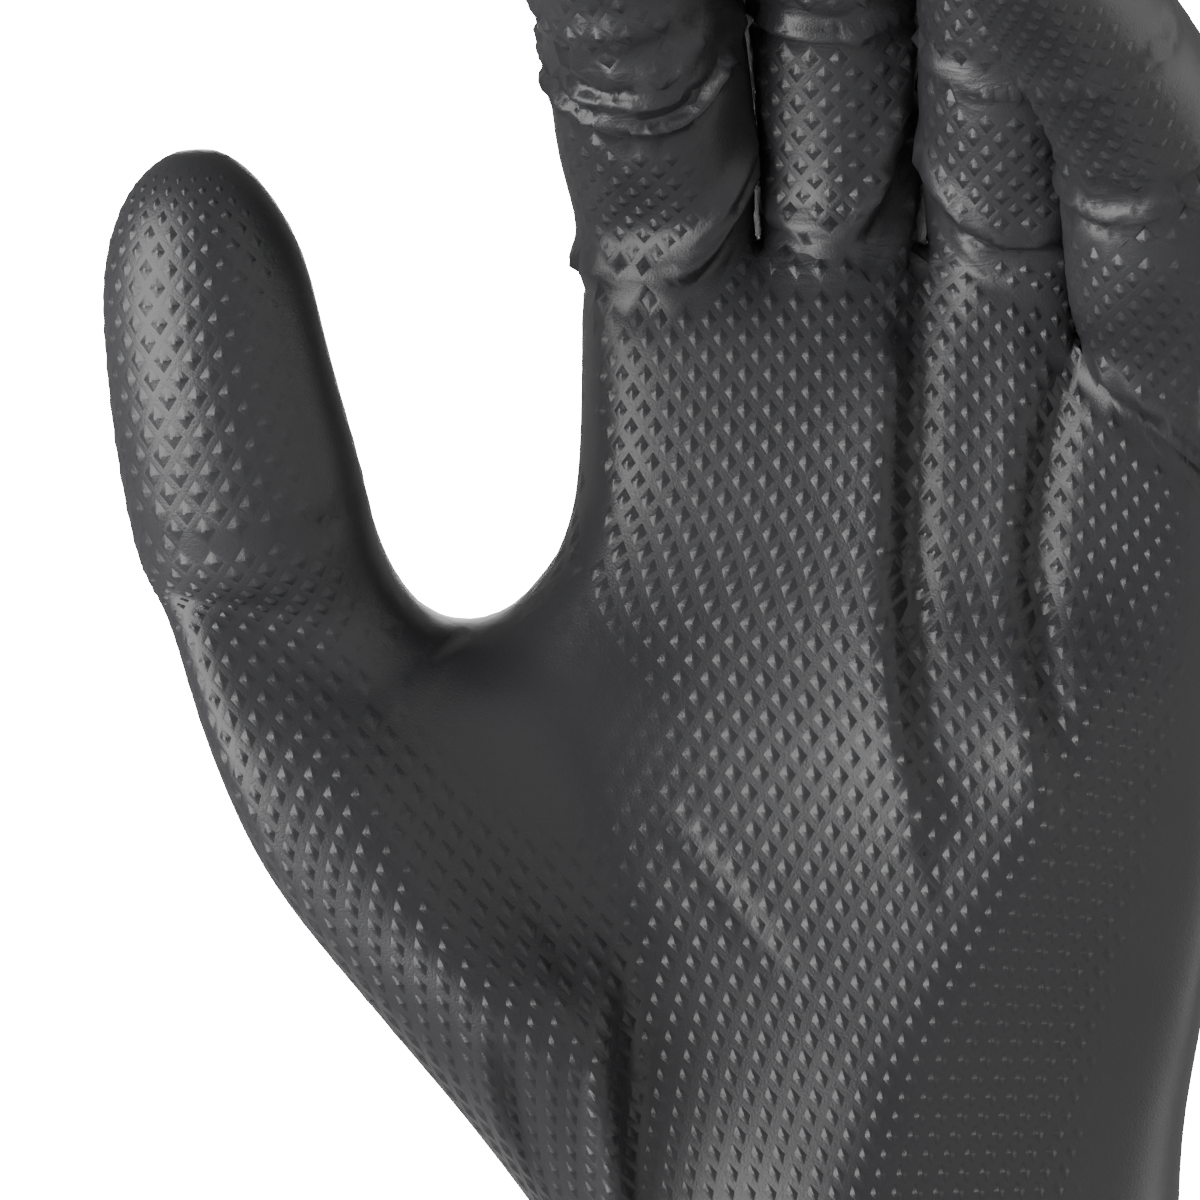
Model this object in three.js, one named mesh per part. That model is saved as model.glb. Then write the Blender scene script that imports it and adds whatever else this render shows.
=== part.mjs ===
// A disposable nitrile exam glove as it is worn on a left hand, palm towards -Y and fingers towards +Z.
// The real glove is dipped in one piece, with its cuff rolled into a bead, so it is one hollow solid here.
// The origin is the middle of the cuff's opening. Units are millimetres.
import * as THREE from 'three';

// Film and bead
const wall = 1;
const fingerGap = 0.5;
const beadThickness = 3.2;

// Cuff, wrist and palm
const cuffLength = 52;
const cuffWidth = 72;
const cuffDepth = 54;
const wristWidth = 66;
const wristDepth = 42;
const crotchRise = 67;
const webRise = 105.5;
const littleWebDrop = 11.5;
const palmWidth = 69;
const palmDepth = 27;
const webDepth = 21.5;
const palmShift = 3.4;
const thumbReach = 74;
const thumbForward = 22;
const heelForward = 9;

// Fingers and thumb: length from the web to the tip, width and depth of the round section
const indexLength = 83;
const indexWidth = 21.2;
const indexDepth = 19;
const middleLength = 87;
const middleWidth = 20;
const middleDepth = 18.6;
const ringLength = 84;
const ringWidth = 19.4;
const ringDepth = 18.2;
const littleLength = 73;
const littleWidth = 18;
const littleDepth = 16.8;
const thumbLength = 53;
const thumbWidth = 25.4;
const thumbDepth = 22.5;

// Facets: columns run from the cuff to the tips and rows run round the glove
const fingerColumns = 4;
const thumbColumns = 5;
const crotchColumns = 2;
const sideColumns = 2;
const rowPitch = 6.2;
const tipRows = 3;
const beadFacets = 8;

// Trunk sections from the wrist crease to the thumb's web. rise is a share of crotchRise, left a share of
// the way out to the thumb, right and depth shares of the way from the wrist's size to the palm's, and the
// others are shares of thumbForward and heelForward that the two edges stand in front of the middle.
const trunkSections = [
  { rise: 0.0, left: 0.0, right: 0.0, depth: 0.0, thumbEdge: 0.0, heelEdge: 0.0 },
  { rise: 0.2, left: 0.235, right: 0.12, depth: 0.3, thumbEdge: 0.3, heelEdge: 0.15 },
  { rise: 0.4, left: 0.5, right: 0.52, depth: 0.52, thumbEdge: 0.55, heelEdge: 0.4 },
  { rise: 0.6, left: 0.75, right: 0.85, depth: 0.7, thumbEdge: 0.78, heelEdge: 0.65 },
  { rise: 0.8, left: 0.9, right: 1.0, depth: 0.88, thumbEdge: 0.92, heelEdge: 0.85 },
  { rise: 1.0, left: 1.0, right: 1.0, depth: 1.0, thumbEdge: 1.0, heelEdge: 1.0 },
];

// Limbs. across is a share of palmWidth from the palm's middle, rise a share of webRise above the wrist
// crease and forward a share of palmDepth, all to the limb's root. tip is the share of the length that
// rounds off. webs says on which sides a web joins the limb to another, and beside names the limbs that it
// presses against. joints are shares of the limb's length from its root, with the angles in degrees at
// which the stretch up to that joint curls towards the palm and leans towards the little finger. The joint
// at share 0 is the stretch inside the palm.
const limbs = {
  index: {
    length: indexLength, width: indexWidth, depth: indexDepth, across: -0.368, rise: 0.985, forward: 0.02,
    tip: 0.1, webs: { left: false, right: true }, beside: ['middle'],
    joints: [
      { share: 0, curl: 4, lean: 0 },
      { share: 0.34, curl: 27, lean: -5 },
      { share: 0.64, curl: 46, lean: -14 },
      { share: 1.0, curl: 68, lean: -6 },
    ],
  },
  middle: {
    length: middleLength, width: middleWidth, depth: middleDepth, across: -0.093, rise: 0.995, forward: -0.06,
    tip: 0.1, webs: { left: true, right: true }, beside: ['index', 'ring'],
    joints: [
      { share: 0, curl: 4, lean: 0 },
      { share: 0.36, curl: 22, lean: -2 },
      { share: 0.65, curl: 45, lean: -5 },
      { share: 1.0, curl: 66, lean: -7 },
    ],
  },
  ring: {
    length: ringLength, width: ringWidth, depth: ringDepth, across: 0.168, rise: 0.97, forward: 0.14,
    tip: 0.1, webs: { left: true, right: true }, beside: ['middle', 'little'],
    joints: [
      { share: 0, curl: 6, lean: 0 },
      { share: 0.36, curl: 28, lean: -2 },
      { share: 0.66, curl: 46, lean: -4 },
      { share: 1.0, curl: 68, lean: -3 },
    ],
  },
  little: {
    length: littleLength, width: littleWidth, depth: littleDepth, across: 0.398, rise: 0.89, forward: 0.42,
    tip: 0.1, webs: { left: true, right: false }, beside: ['ring'],
    joints: [
      { share: 0, curl: 10, lean: 0 },
      { share: 0.36, curl: 32, lean: -4 },
      { share: 0.67, curl: 53, lean: -22 },
      { share: 1.0, curl: 65, lean: -24 },
    ],
  },
  thumb: {
    length: thumbLength, width: thumbWidth, depth: thumbDepth, across: -0.952, rise: 0.635, forward: 0.52,
    tip: 0.3, webs: { left: false, right: true }, beside: [],
    joints: [
      { share: 0, curl: 18, lean: -26 },
      { share: 0.42, curl: 25, lean: -13 },
      { share: 0.78, curl: 18, lean: -8 },
      { share: 1.0, curl: 14, lean: -3 },
    ],
  },
};

// How full a limb's section is along its length, as shares of its width and depth
const limbFullness = [
  { share: 0.0, size: 0.94 },
  { share: 0.16, size: 0.98 },
  { share: 0.36, size: 1.0 },
  { share: 0.62, size: 0.94 },
  { share: 0.85, size: 0.86 },
  { share: 1.0, size: 0.82 },
];
const thumbFullness = [
  { share: 0.0, size: 1.0 },
  { share: 0.2, size: 0.99 },
  { share: 0.42, size: 0.94 },
  { share: 0.66, size: 0.86 },
  { share: 0.85, size: 0.8 },
  { share: 1.0, size: 0.78 },
];

// Rolls and creases of the film across a limb. at is a share of the limb's length, tilt is in degrees, and
// breadth and height are shares of the limb's width. A negative height is a crease.
const limbFolds = [
  { limb: 'index', at: 0.07, tilt: 12, breadth: 0.26, height: 0.1, back: 0.3 },
  { limb: 'index', at: -0.02, tilt: 10, breadth: 0.14, height: -0.1, back: 0 },
  { limb: 'index', at: 0.3, tilt: 3, breadth: 0.22, height: 0.09, back: 0.2 },
  { limb: 'index', at: 0.37, tilt: 4, breadth: 0.12, height: -0.08, back: 0 },
  { limb: 'index', at: 0.45, tilt: 0, breadth: 0.18, height: 0.1, back: 0 },
  { limb: 'middle', at: 0.08, tilt: 6, breadth: 0.22, height: 0.08, back: 0.2 },
  { limb: 'middle', at: 0.36, tilt: 0, breadth: 0.16, height: -0.1, back: 0 },
  { limb: 'ring', at: 0.12, tilt: 6, breadth: 0.2, height: 0.09, back: 0.2 },
  { limb: 'ring', at: 0.37, tilt: 0, breadth: 0.16, height: -0.1, back: 0 },
  { limb: 'little', at: 0.3, tilt: 0, breadth: 0.24, height: 0.09, back: 0.2 },
  { limb: 'little', at: -0.03, tilt: -24, breadth: 0.18, height: -0.12, back: 0 },
  { limb: 'thumb', at: 0.28, tilt: -4, breadth: 0.14, height: -0.05, back: 0 },
];

// Creases and ridges of the palm and wrist. from and to are places in the frontal plane, across as a share
// of palmWidth from the glove's middle and rise as a share of webRise above the wrist crease. breadth and
// height are shares of palmDepth.
const palmFolds = [
  { from: [0.06, 0.97], to: [0.07, 0.45], breadth: 0.2, height: -0.2 },
  { from: [0.31, 0.86], to: [0.27, 0.55], breadth: 0.18, height: -0.18 },
  { from: [-0.62, 0.62], to: [-0.3, 0.1], breadth: 0.26, height: -0.12 },
  { from: [-0.28, 0.42], to: [-0.14, 0.26], breadth: 0.3, height: -0.1 },
  { from: [-0.42, 0.3], to: [-0.38, 0.0], breadth: 0.2, height: 0.1 },
  { from: [-0.52, 0.2], to: [-0.5, 0.0], breadth: 0.2, height: -0.04 },
];

// Form of the trunk: how square its section is, how far its columns slide towards the little finger, how
// far its edge flares out at the thumb's web and how fast that fades, how much of the thumb's edge stays
// forward above the web, and how far the little finger's edge sinks
const trunkFullness = 2.35;
const columnSlide = 0.034;
const webFlareShare = 0.17;
const webFlareFade = 0.12;
const thumbEdgeAboveWeb = 0.2;
const littleEdgeDropShare = 0.085;

// Form of the limbs: how far a spine reaches into the palm and how much of a limb keeps the form of its
// root, as shares of its length, and how near the web that form is given up
const spineBelow = 0.3;
const blendShare = 0.22;
const webNearness = -0.1;
const webNearnessFade = 0.7;

// Evening out round the webs, in millimetres from them, and the folds' reach round a limb as a share of its
// radius
const evenNear = 5;
const evenFade = 14;
const evenShare = 0.5;
const evenRounds = 4;
const foldReach = 1.25;
const foldReachFade = 0.35;
const palmFoldFacing = 1.4;
const foldEndFade = 0.3;

// The inner skin lies at least this share of the wall behind each outer face, reached in this number of
// rounds
const leastWallShare = 0.75;
const settleRounds = 12;

// How finely the curves are measured
const ovalSteps = 160;
const spineSteps = 60;

// Places that follow from the sizes
const palmHalf = palmWidth / 2;
const wristHalf = wristWidth / 2;
const palmColumns = 4 * fingerColumns;
const frontColumns = thumbColumns + crotchColumns + palmColumns;

function smooth(t) {
  const s = Math.min(1, Math.max(0, t));
  return s * s * (3 - 2 * s);
}

function mix(a, b, t) {
  return a + (b - a) * t;
}

// Reads a table of rows at the share t, with a smooth curve through its rows
function readTable(rows, key, name, t) {
  let i = 0;
  while (i < rows.length - 2 && t > rows[i + 1][key]) i += 1;
  const before = rows[Math.max(0, i - 1)];
  const a = rows[i];
  const b = rows[i + 1];
  const after = rows[Math.min(rows.length - 1, i + 2)];
  const span = b[key] - a[key];
  const slopeA =
    a === before ? (b[name] - a[name]) / span : (b[name] - before[name]) / (b[key] - before[key]);
  const slopeB = b === after ? (b[name] - a[name]) / span : (after[name] - a[name]) / (after[key] - a[key]);
  const s = Math.min(1, Math.max(0, (t - a[key]) / span));
  const s2 = s * s;
  const s3 = s2 * s;
  return (
    (2 * s3 - 3 * s2 + 1) * a[name] +
    (s3 - 2 * s2 + s) * span * slopeA +
    (3 * s2 - 2 * s3) * b[name] +
    (s3 - s2) * span * slopeB
  );
}

// The outer skin is kept as a list of points and a list of four-sided and three-sided faces
const points = [];
const faces = [];

function addPoint(x, y, z) {
  points.push(new THREE.Vector3(x, y, z));
  return points.length - 1;
}

// A ring is read from its front and back rows, left to right, and its two sides, front to back
function loopOf(ring) {
  return [...ring.front, ...ring.right, ...[...ring.back].reverse(), ...[...ring.left].reverse()];
}

function bridge(lower, upper) {
  const a = loopOf(lower);
  const b = loopOf(upper);
  a.forEach((p, i) => {
    const j = (i + 1) % a.length;
    faces.push([p, a[j], b[j], b[i]]);
  });
}

// Half of a rounded flat section as a curve from its left edge to its right edge, read by shares of its
// length
function halfOval(halfWidth, halfDepth, fullness) {
  const curve = [];
  let length = 0;
  for (let i = 0; i <= ovalSteps; i += 1) {
    const turn = (Math.PI * i) / ovalSteps;
    const x = -Math.sign(Math.cos(turn)) * Math.abs(Math.cos(turn)) ** (2 / fullness) * halfWidth;
    const y = Math.sin(turn) ** (2 / fullness) * halfDepth;
    if (i > 0) length += Math.hypot(x - curve[i - 1].x, y - curve[i - 1].y);
    curve.push({ x, y, length });
  }
  return (share) => {
    const wanted = Math.min(1, Math.max(0, share)) * length;
    let i = 1;
    while (i < ovalSteps && curve[i].length < wanted) i += 1;
    const a = curve[i - 1];
    const b = curve[i];
    const t = (wanted - a.length) / Math.max(1e-9, b.length - a.length);
    return { x: mix(a.x, b.x, t), y: mix(a.y, b.y, t) };
  };
}

// The trunk's section at a height above the rim: its two edges, its half depth and how its middle line bends
function trunkAt(height) {
  if (height < cuffLength) {
    const t = smooth(height / cuffLength);
    return {
      left: -mix(cuffWidth / 2, wristHalf, t),
      right: mix(cuffWidth / 2, wristHalf, t),
      halfDepth: mix(cuffDepth, wristDepth, t) / 2,
      thumbEdge: 0,
      heelEdge: 0,
      slide: 0,
    };
  }
  const rise = height - cuffLength;
  const palmRight = palmHalf + palmShift;
  if (rise <= crotchRise) {
    const t = rise / crotchRise;
    const read = (name) => readTable(trunkSections, 'rise', name, t);
    return {
      left: -mix(wristHalf, thumbReach, read('left')),
      right: mix(wristHalf, palmRight, read('right')),
      halfDepth: mix(wristDepth, palmDepth, read('depth')) / 2,
      thumbEdge: -thumbForward * read('thumbEdge'),
      heelEdge: -heelForward * read('heelEdge'),
      slide: columnSlide * smooth(t),
    };
  }
  const above = (rise - crotchRise) / (webRise - crotchRise);
  return {
    left: -palmHalf + palmShift - webFlareShare * palmWidth * Math.exp(-above / webFlareFade),
    right: palmRight,
    halfDepth: mix(palmDepth, webDepth, smooth(above)) / 2,
    thumbEdge: -thumbForward * thumbEdgeAboveWeb * (1 - smooth(2 * above)),
    heelEdge: -heelForward,
    slide: columnSlide,
  };
}

// A point of the trunk's section: share runs along the front or back curve from the left edge to the right
// edge
function trunkPlace(section, height, share, side) {
  const middle = (section.left + section.right) / 2;
  const half = (section.right - section.left) / 2;
  const slid = share + section.slide * Math.sin(Math.PI * share);
  const p = section.curve(slid);
  const across = p.x / half;
  const bend = across < 0 ? section.thumbEdge * across * across : section.heelEdge * across * across;
  const far = Math.max(0, across) ** 2;
  const drop = smooth((height - cuffLength) / webRise) * littleEdgeDropShare * webRise * far;
  return new THREE.Vector3(middle + p.x, bend - side * p.y, height - drop);
}

function trunkRing(height, columns) {
  const section = trunkAt(height);
  const half = (section.right - section.left) / 2;
  section.curve = halfOval(half, section.halfDepth, trunkFullness);
  const total = columns + sideColumns;
  const at = (j, side) => {
    const p = trunkPlace(section, height, (j + sideColumns / 2) / total, side);
    return addPoint(p.x, p.y, p.z);
  };
  const front = [];
  const back = [];
  for (let j = 0; j <= columns; j += 1) front.push(at(j, 1));
  for (let j = 0; j <= columns; j += 1) back.push(at(j, -1));
  const right = [];
  const left = [];
  for (let j = 1; j < sideColumns; j += 1) {
    const share = Math.abs(j - sideColumns / 2);
    const side = j < sideColumns / 2 ? 1 : -1;
    right.push(at(columns + sideColumns / 2 - share, side));
    left.push(at(share - sideColumns / 2, side));
  }
  return { front, back, left, right };
}

// A web is a patch of columns that run from the front over to the back between two limbs
function webPatch(ring, first, last) {
  const chains = [];
  for (let k = first; k <= last; k += 1) {
    const a = points[ring.front[k]];
    const b = points[ring.back[k]];
    const inner = [];
    for (let j = 1; j < sideColumns; j += 1) {
      const t = j / sideColumns;
      const rise = wall * Math.sin(Math.PI * t);
      inner.push(addPoint(mix(a.x, b.x, t), mix(a.y, b.y, t), mix(a.z, b.z, t) + rise));
    }
    chains.push(inner);
  }
  for (let k = first; k < last; k += 1) {
    const a = [ring.front[k], ...chains[k - first], ring.back[k]];
    const b = [ring.front[k + 1], ...chains[k + 1 - first], ring.back[k + 1]];
    for (let j = 0; j < sideColumns; j += 1) faces.push([a[j], b[j], b[j + 1], a[j + 1]]);
  }
  return chains;
}

// Splits a ring at its columns a to b, which stay behind as the web, and gives the rings on its two sides
function split(ring, a, b) {
  const chains = webPatch(ring, a, b);
  return [
    { front: ring.front.slice(0, a + 1), back: ring.back.slice(0, a + 1), left: ring.left, right: chains[0] },
    {
      front: ring.front.slice(b),
      back: ring.back.slice(b),
      left: chains[chains.length - 1],
      right: ring.right,
    },
  ];
}

// A limb's spine, which starts inside the palm, with the share of it that lies below the limb's root
function makeSpine(limb) {
  const root = new THREE.Vector3(
    palmShift + limb.across * palmWidth,
    -limb.forward * palmDepth,
    cuffLength + limb.rise * webRise,
  );
  const stops = [];
  let last = root;
  let share = 0;
  for (const joint of limb.joints) {
    const curl = THREE.MathUtils.degToRad(joint.curl);
    const lean = THREE.MathUtils.degToRad(joint.lean);
    const upright = Math.cos(lean);
    const way = new THREE.Vector3(Math.sin(lean), -upright * Math.sin(curl), upright * Math.cos(curl));
    if (stops.length === 0) stops.push(root.clone().addScaledVector(way, -spineBelow * limb.length));
    last = last.clone().addScaledVector(way, (joint.share - share) * limb.length);
    share = joint.share;
    stops.push(last);
  }
  const curve = new THREE.CatmullRomCurve3(stops, false, 'catmullrom', 0.5);
  const steps = spineSteps * (stops.length - 1);
  const lengths = curve.getLengths(steps);
  const below = lengths[spineSteps] / lengths[steps];
  return { curve, below };
}

function spineFrame(limb, share) {
  const u = Math.min(1, Math.max(0, limb.spine.below + (1 - limb.spine.below) * share));
  const along = limb.spine.curve.getTangentAt(u);
  const across = new THREE.Vector3(1, 0, 0).addScaledVector(along, -along.x).normalize();
  const back = along.clone().cross(across);
  return { middle: limb.spine.curve.getPointAt(u), along, across, back };
}

function limbRing(limb, share, columns) {
  const frame = spineFrame(limb, share);
  const into = Math.max(0, (share - 1 + limb.tip) / limb.tip);
  const size = readTable(limb.fullness, 'share', 'size', share) * Math.sqrt(Math.max(0, 1 - into * into));
  const count = 2 * (columns + sideColumns);
  const ids = [];
  for (let i = 0; i < count; i += 1) {
    const turn = (2 * Math.PI * (i + sideColumns / 2)) / count;
    const p = frame.middle
      .clone()
      .addScaledVector(frame.across, (-Math.cos(turn) * limb.width * size) / 2)
      .addScaledVector(frame.back, (-Math.sin(turn) * limb.depth * size) / 2);
    ids.push(addPoint(p.x, p.y, p.z));
  }
  const front = ids.slice(0, columns + 1);
  const right = ids.slice(columns + 1, columns + sideColumns);
  const back = ids.slice(columns + sideColumns, 2 * columns + sideColumns + 1).reverse();
  const left = ids.slice(2 * columns + sideColumns + 1).reverse();
  return { front, back, left, right };
}

// How slowly a point of a limb's ring leaves the form of the ring at its root: at once beside a web, slowly
// elsewhere
function openness(limb, i, count) {
  const across = -Math.cos((2 * Math.PI * (i + sideColumns / 2)) / count);
  const nearWeb = Math.max(limb.webs.left ? -across : -1, limb.webs.right ? across : -1);
  return 1 - smooth((nearWeb - webNearness) / webNearnessFade);
}

// Grows a limb from the ring at its root to a closed tip
function growLimb(limb, rootRing, columns) {
  const straight = Math.round(((1 - limb.tip) * limb.length) / rowPitch);
  const shares = [];
  for (let i = 1; i <= straight; i += 1) shares.push(((1 - limb.tip) * i) / straight);
  for (let i = 1; i <= tipRows; i += 1) {
    shares.push(1 - limb.tip + limb.tip * Math.sin((Math.PI / 2) * (i / (tipRows + 1))));
  }
  const rootLoop = loopOf(rootRing);
  const rootMiddle = spineFrame(limb, 0).middle;
  let below = rootRing;
  for (const share of shares) {
    const above = limbRing(limb, share, columns);
    const step = spineFrame(limb, share).middle.sub(rootMiddle);
    loopOf(above).forEach((id, i) => {
      const slow = openness(limb, i, rootLoop.length) * (1 - smooth(share / blendShare));
      points[id].lerp(points[rootLoop[i]].clone().add(step), slow);
    });
    limb.rings.push({ share, ids: loopOf(above) });
    bridge(below, above);
    below = above;
  }
  const end = spineFrame(limb, 1).middle;
  const tip = addPoint(end.x, end.y, end.z);
  const loop = loopOf(below);
  loop.forEach((p, i) => faces.push([p, loop[(i + 1) % loop.length], tip]));
}

// Fingers that press against each other go flat there: no point passes the plane midway between two spines
function pressFlat(limb) {
  for (const other of limb.beside.map((name) => limbs[name])) {
    const samples = Array.from({ length: spineSteps + 1 }, (_, i) => {
      return spineFrame(other, mix(-spineBelow, 1, i / spineSteps)).middle;
    });
    for (const { share, ids } of limb.rings) {
      const { middle } = spineFrame(limb, share);
      const nearest = samples.reduce((a, b) => (b.distanceTo(middle) < a.distanceTo(middle) ? b : a));
      const way = nearest.clone().sub(middle);
      const reach = (way.length() * limb.width) / (limb.width + other.width) - fingerGap / 2;
      way.normalize();
      for (const id of ids) {
        const beyond = points[id].clone().sub(middle).dot(way) - reach;
        if (beyond > 0) points[id].addScaledVector(way, -beyond);
      }
    }
  }
}

// Evens out the skin: each point moves towards the middle of its neighbours by its own share
function relax(shareOf, rounds) {
  const neighbours = points.map(() => new Set());
  for (const face of faces) {
    face.forEach((p, i) => {
      const q = face[(i + 1) % face.length];
      neighbours[p].add(q);
      neighbours[q].add(p);
    });
  }
  const shares = points.map(shareOf);
  for (let round = 0; round < rounds; round += 1) {
    const before = points.map((p) => p.clone());
    points.forEach((p, i) => {
      if (shares[i] <= 0) return;
      const middle = new THREE.Vector3();
      for (const j of neighbours[i]) middle.add(before[j]);
      middle.divideScalar(neighbours[i].size);
      p.lerp(middle, shares[i]);
    });
  }
}

// Outward directions at the points of the skin
function outward() {
  const normals = points.map(() => new THREE.Vector3());
  for (const face of faces) {
    const a = points[face[0]];
    const b = points[face[1]];
    const c = points[face[2]];
    const d = points[face[face.length - 1]];
    const normal = c.clone().sub(a).cross(d.clone().sub(b));
    if (face.length === 3) normal.copy(b.clone().sub(a).cross(c.clone().sub(a)));
    normal.normalize();
    for (const p of face) normals[p].add(normal);
  }
  return normals.map((n) => n.normalize());
}

// Moves the inner points until each lies most of a wall behind every face of the outer skin that meets there
function keepBehind(innerPoints) {
  const meeting = points.map(() => []);
  for (const face of faces) {
    const last = face.length - 1;
    face.forEach((p, i) => {
      const before = points[face[i === 0 ? last : i - 1]].clone().sub(points[p]);
      const after = points[face[i === last ? 0 : i + 1]].clone().sub(points[p]);
      meeting[p].push(after.cross(before).normalize());
    });
  }
  const least = leastWallShare * wall;
  for (let round = 0; round < settleRounds; round += 1) {
    points.forEach((p, i) => {
      for (const normal of meeting[i]) {
        const behind = p.clone().sub(innerPoints[i]).dot(normal);
        if (behind < least) innerPoints[i].addScaledVector(normal, 0.5 * (behind - least));
      }
    });
  }
}

// How far the film stands out at a point because of the rolls and creases
function foldHeight(p, normal) {
  let height = 0;
  for (const fold of limbFolds) {
    const limb = limbs[fold.limb];
    const frame = spineFrame(limb, fold.at);
    const tilt = THREE.MathUtils.degToRad(fold.tilt);
    const away = p.clone().sub(frame.middle);
    const plane = frame.along.clone().multiplyScalar(Math.cos(tilt));
    plane.addScaledVector(frame.across, -Math.sin(tilt));
    const distance = away.dot(plane) / (fold.breadth * limb.width);
    const radius = away.addScaledVector(plane, -away.dot(plane)).length() / (limb.width / 2);
    const front = smooth(-normal.dot(frame.back));
    const left = limb.webs.left ? 0 : smooth(-normal.dot(frame.across));
    const right = limb.webs.right ? 0 : smooth(normal.dot(frame.across));
    const behind = fold.back * smooth(normal.dot(frame.back));
    const weight = Math.max(front, left, right, behind) * (1 - smooth((radius - foldReach) / foldReachFade));
    height += fold.height * limb.width * weight * Math.exp(-distance * distance);
  }
  for (const fold of palmFolds) {
    const from = new THREE.Vector2(fold.from[0] * palmWidth, cuffLength + fold.from[1] * webRise);
    const to = new THREE.Vector2(fold.to[0] * palmWidth, cuffLength + fold.to[1] * webRise);
    const way = to.clone().sub(from);
    const here = new THREE.Vector2(p.x, p.z).sub(from);
    const t = here.dot(way) / way.lengthSq();
    const beside = here.addScaledVector(way, -t).length() / (fold.breadth * palmDepth);
    const ends = smooth(0.5 + t / foldEndFade) * smooth(0.5 + (1 - t) / foldEndFade);
    const facing = smooth(-palmFoldFacing * normal.y);
    height += fold.height * palmDepth * facing * ends * Math.exp(-beside * beside);
  }
  return height;
}

// The limbs' spines
for (const limb of Object.values(limbs)) {
  limb.spine = makeSpine(limb);
  limb.fullness = limb === limbs.thumb ? thumbFullness : limbFullness;
  limb.rings = [];
}

// Rows between two heights, without the first
function heightsBetween(low, high) {
  const count = Math.max(1, Math.round((high - low) / rowPitch));
  return Array.from({ length: count }, (_, i) => mix(low, high, (i + 1) / count));
}

function climb(ring, heights, columns) {
  let below = ring;
  for (const height of heights) {
    const above = trunkRing(height, columns);
    bridge(below, above);
    below = above;
  }
  return below;
}

// The skin grows from the cuff's bead to the thumb's web, the little finger's web and the other webs
const beadRadius = beadThickness / 2;
const beadTop = beadRadius + Math.sqrt(beadRadius ** 2 - (wall / 2) ** 2);
const crotchHeight = cuffLength + crotchRise;
const littleWebHeight = cuffLength + webRise - littleWebDrop;
const webHeight = cuffLength + webRise;
const rim = trunkRing(beadTop, frontColumns);
const wristRing = climb(rim, heightsBetween(beadTop, cuffLength), frontColumns);
const crotchRing = climb(wristRing, heightsBetween(cuffLength, crotchHeight), frontColumns);
const [thumbRoot, palmRoot] = split(crotchRing, thumbColumns, thumbColumns + crotchColumns);
const palmTop = climb(palmRoot, heightsBetween(crotchHeight, littleWebHeight), palmColumns);
const [threeRoot, littleRoot] = split(palmTop, 3 * fingerColumns, 3 * fingerColumns);

// Above the little finger's web the trunk goes on with the columns of the other three fingers
function threeFingerRing(height) {
  const whole = trunkRing(height, palmColumns);
  const cut = 3 * fingerColumns;
  const a = points[whole.front[cut]];
  const b = points[whole.back[cut]];
  a.x -= wall;
  b.x -= wall;
  const right = whole.right.map((_, j) => {
    const p = a.clone().lerp(b, (j + 1) / sideColumns);
    return addPoint(p.x, p.y, p.z);
  });
  const front = whole.front.slice(0, cut + 1);
  const back = whole.back.slice(0, cut + 1);
  return { front, back, left: whole.left, right };
}

let threeTop = threeRoot;
for (const height of heightsBetween(littleWebHeight, webHeight)) {
  const above = threeFingerRing(height);
  bridge(threeTop, above);
  threeTop = above;
  limbs.ring.rings.push({ share: (height - webHeight) / ringLength, ids: above.right });
}
const [indexRoot, twoRoot] = split(threeTop, fingerColumns, fingerColumns);
const [middleRoot, ringRoot] = split(twoRoot, fingerColumns, fingerColumns);
growLimb(limbs.thumb, thumbRoot, thumbColumns);
growLimb(limbs.index, indexRoot, fingerColumns);
growLimb(limbs.middle, middleRoot, fingerColumns);
growLimb(limbs.ring, ringRoot, fingerColumns);
growLimb(limbs.little, littleRoot, fingerColumns);

// The webs and the limbs' roots are evened out, and the rest of the skin only a little
const webPoints = [
  ...crotchRing.front.slice(thumbColumns, thumbColumns + crotchColumns + 1),
  ...crotchRing.back.slice(thumbColumns, thumbColumns + crotchColumns + 1),
  palmTop.front[3 * fingerColumns],
  palmTop.back[3 * fingerColumns],
  threeTop.front[fingerColumns],
  threeTop.back[fingerColumns],
  threeTop.front[2 * fingerColumns],
  threeTop.back[2 * fingerColumns],
].map((i) => points[i].clone());
const rimPoints = new Set(loopOf(rim));
relax((p, i) => {
  if (rimPoints.has(i)) return 0;
  const nearest = Math.min(...webPoints.map((web) => web.distanceTo(p)));
  return evenShare * (1 - smooth((nearest - evenNear) / evenFade));
}, evenRounds);
const smoothNormals = outward();
const raised = points.map((p, i) => foldHeight(p, smoothNormals[i]));
points.forEach((p, i) => p.addScaledVector(smoothNormals[i], rimPoints.has(i) ? 0 : raised[i]));
for (const limb of Object.values(limbs)) pressFlat(limb);

// The inner skin lies one wall inside the outer skin, and the bead joins the two round the rim
const normals = outward();
const inner = points.map((p, i) => p.clone().addScaledVector(normals[i], -wall));
keepBehind(inner);
for (const i of rimPoints) {
  const level = normals[i].clone().setZ(0).normalize();
  inner[i] = points[i].clone().addScaledVector(level, -wall);
}
const corners = [];
const addTriangle = (a, b, c) => corners.push(...a.toArray(), ...b.toArray(), ...c.toArray());

function addFace(places) {
  for (let i = 2; i < places.length; i += 1) addTriangle(places[0], places[i - 1], places[i]);
}

for (const face of faces) {
  addFace(face.map((i) => points[i]));
  for (let i = 2; i < face.length; i += 1) addTriangle(inner[face[0]], inner[face[i]], inner[face[i - 1]]);
}

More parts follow.
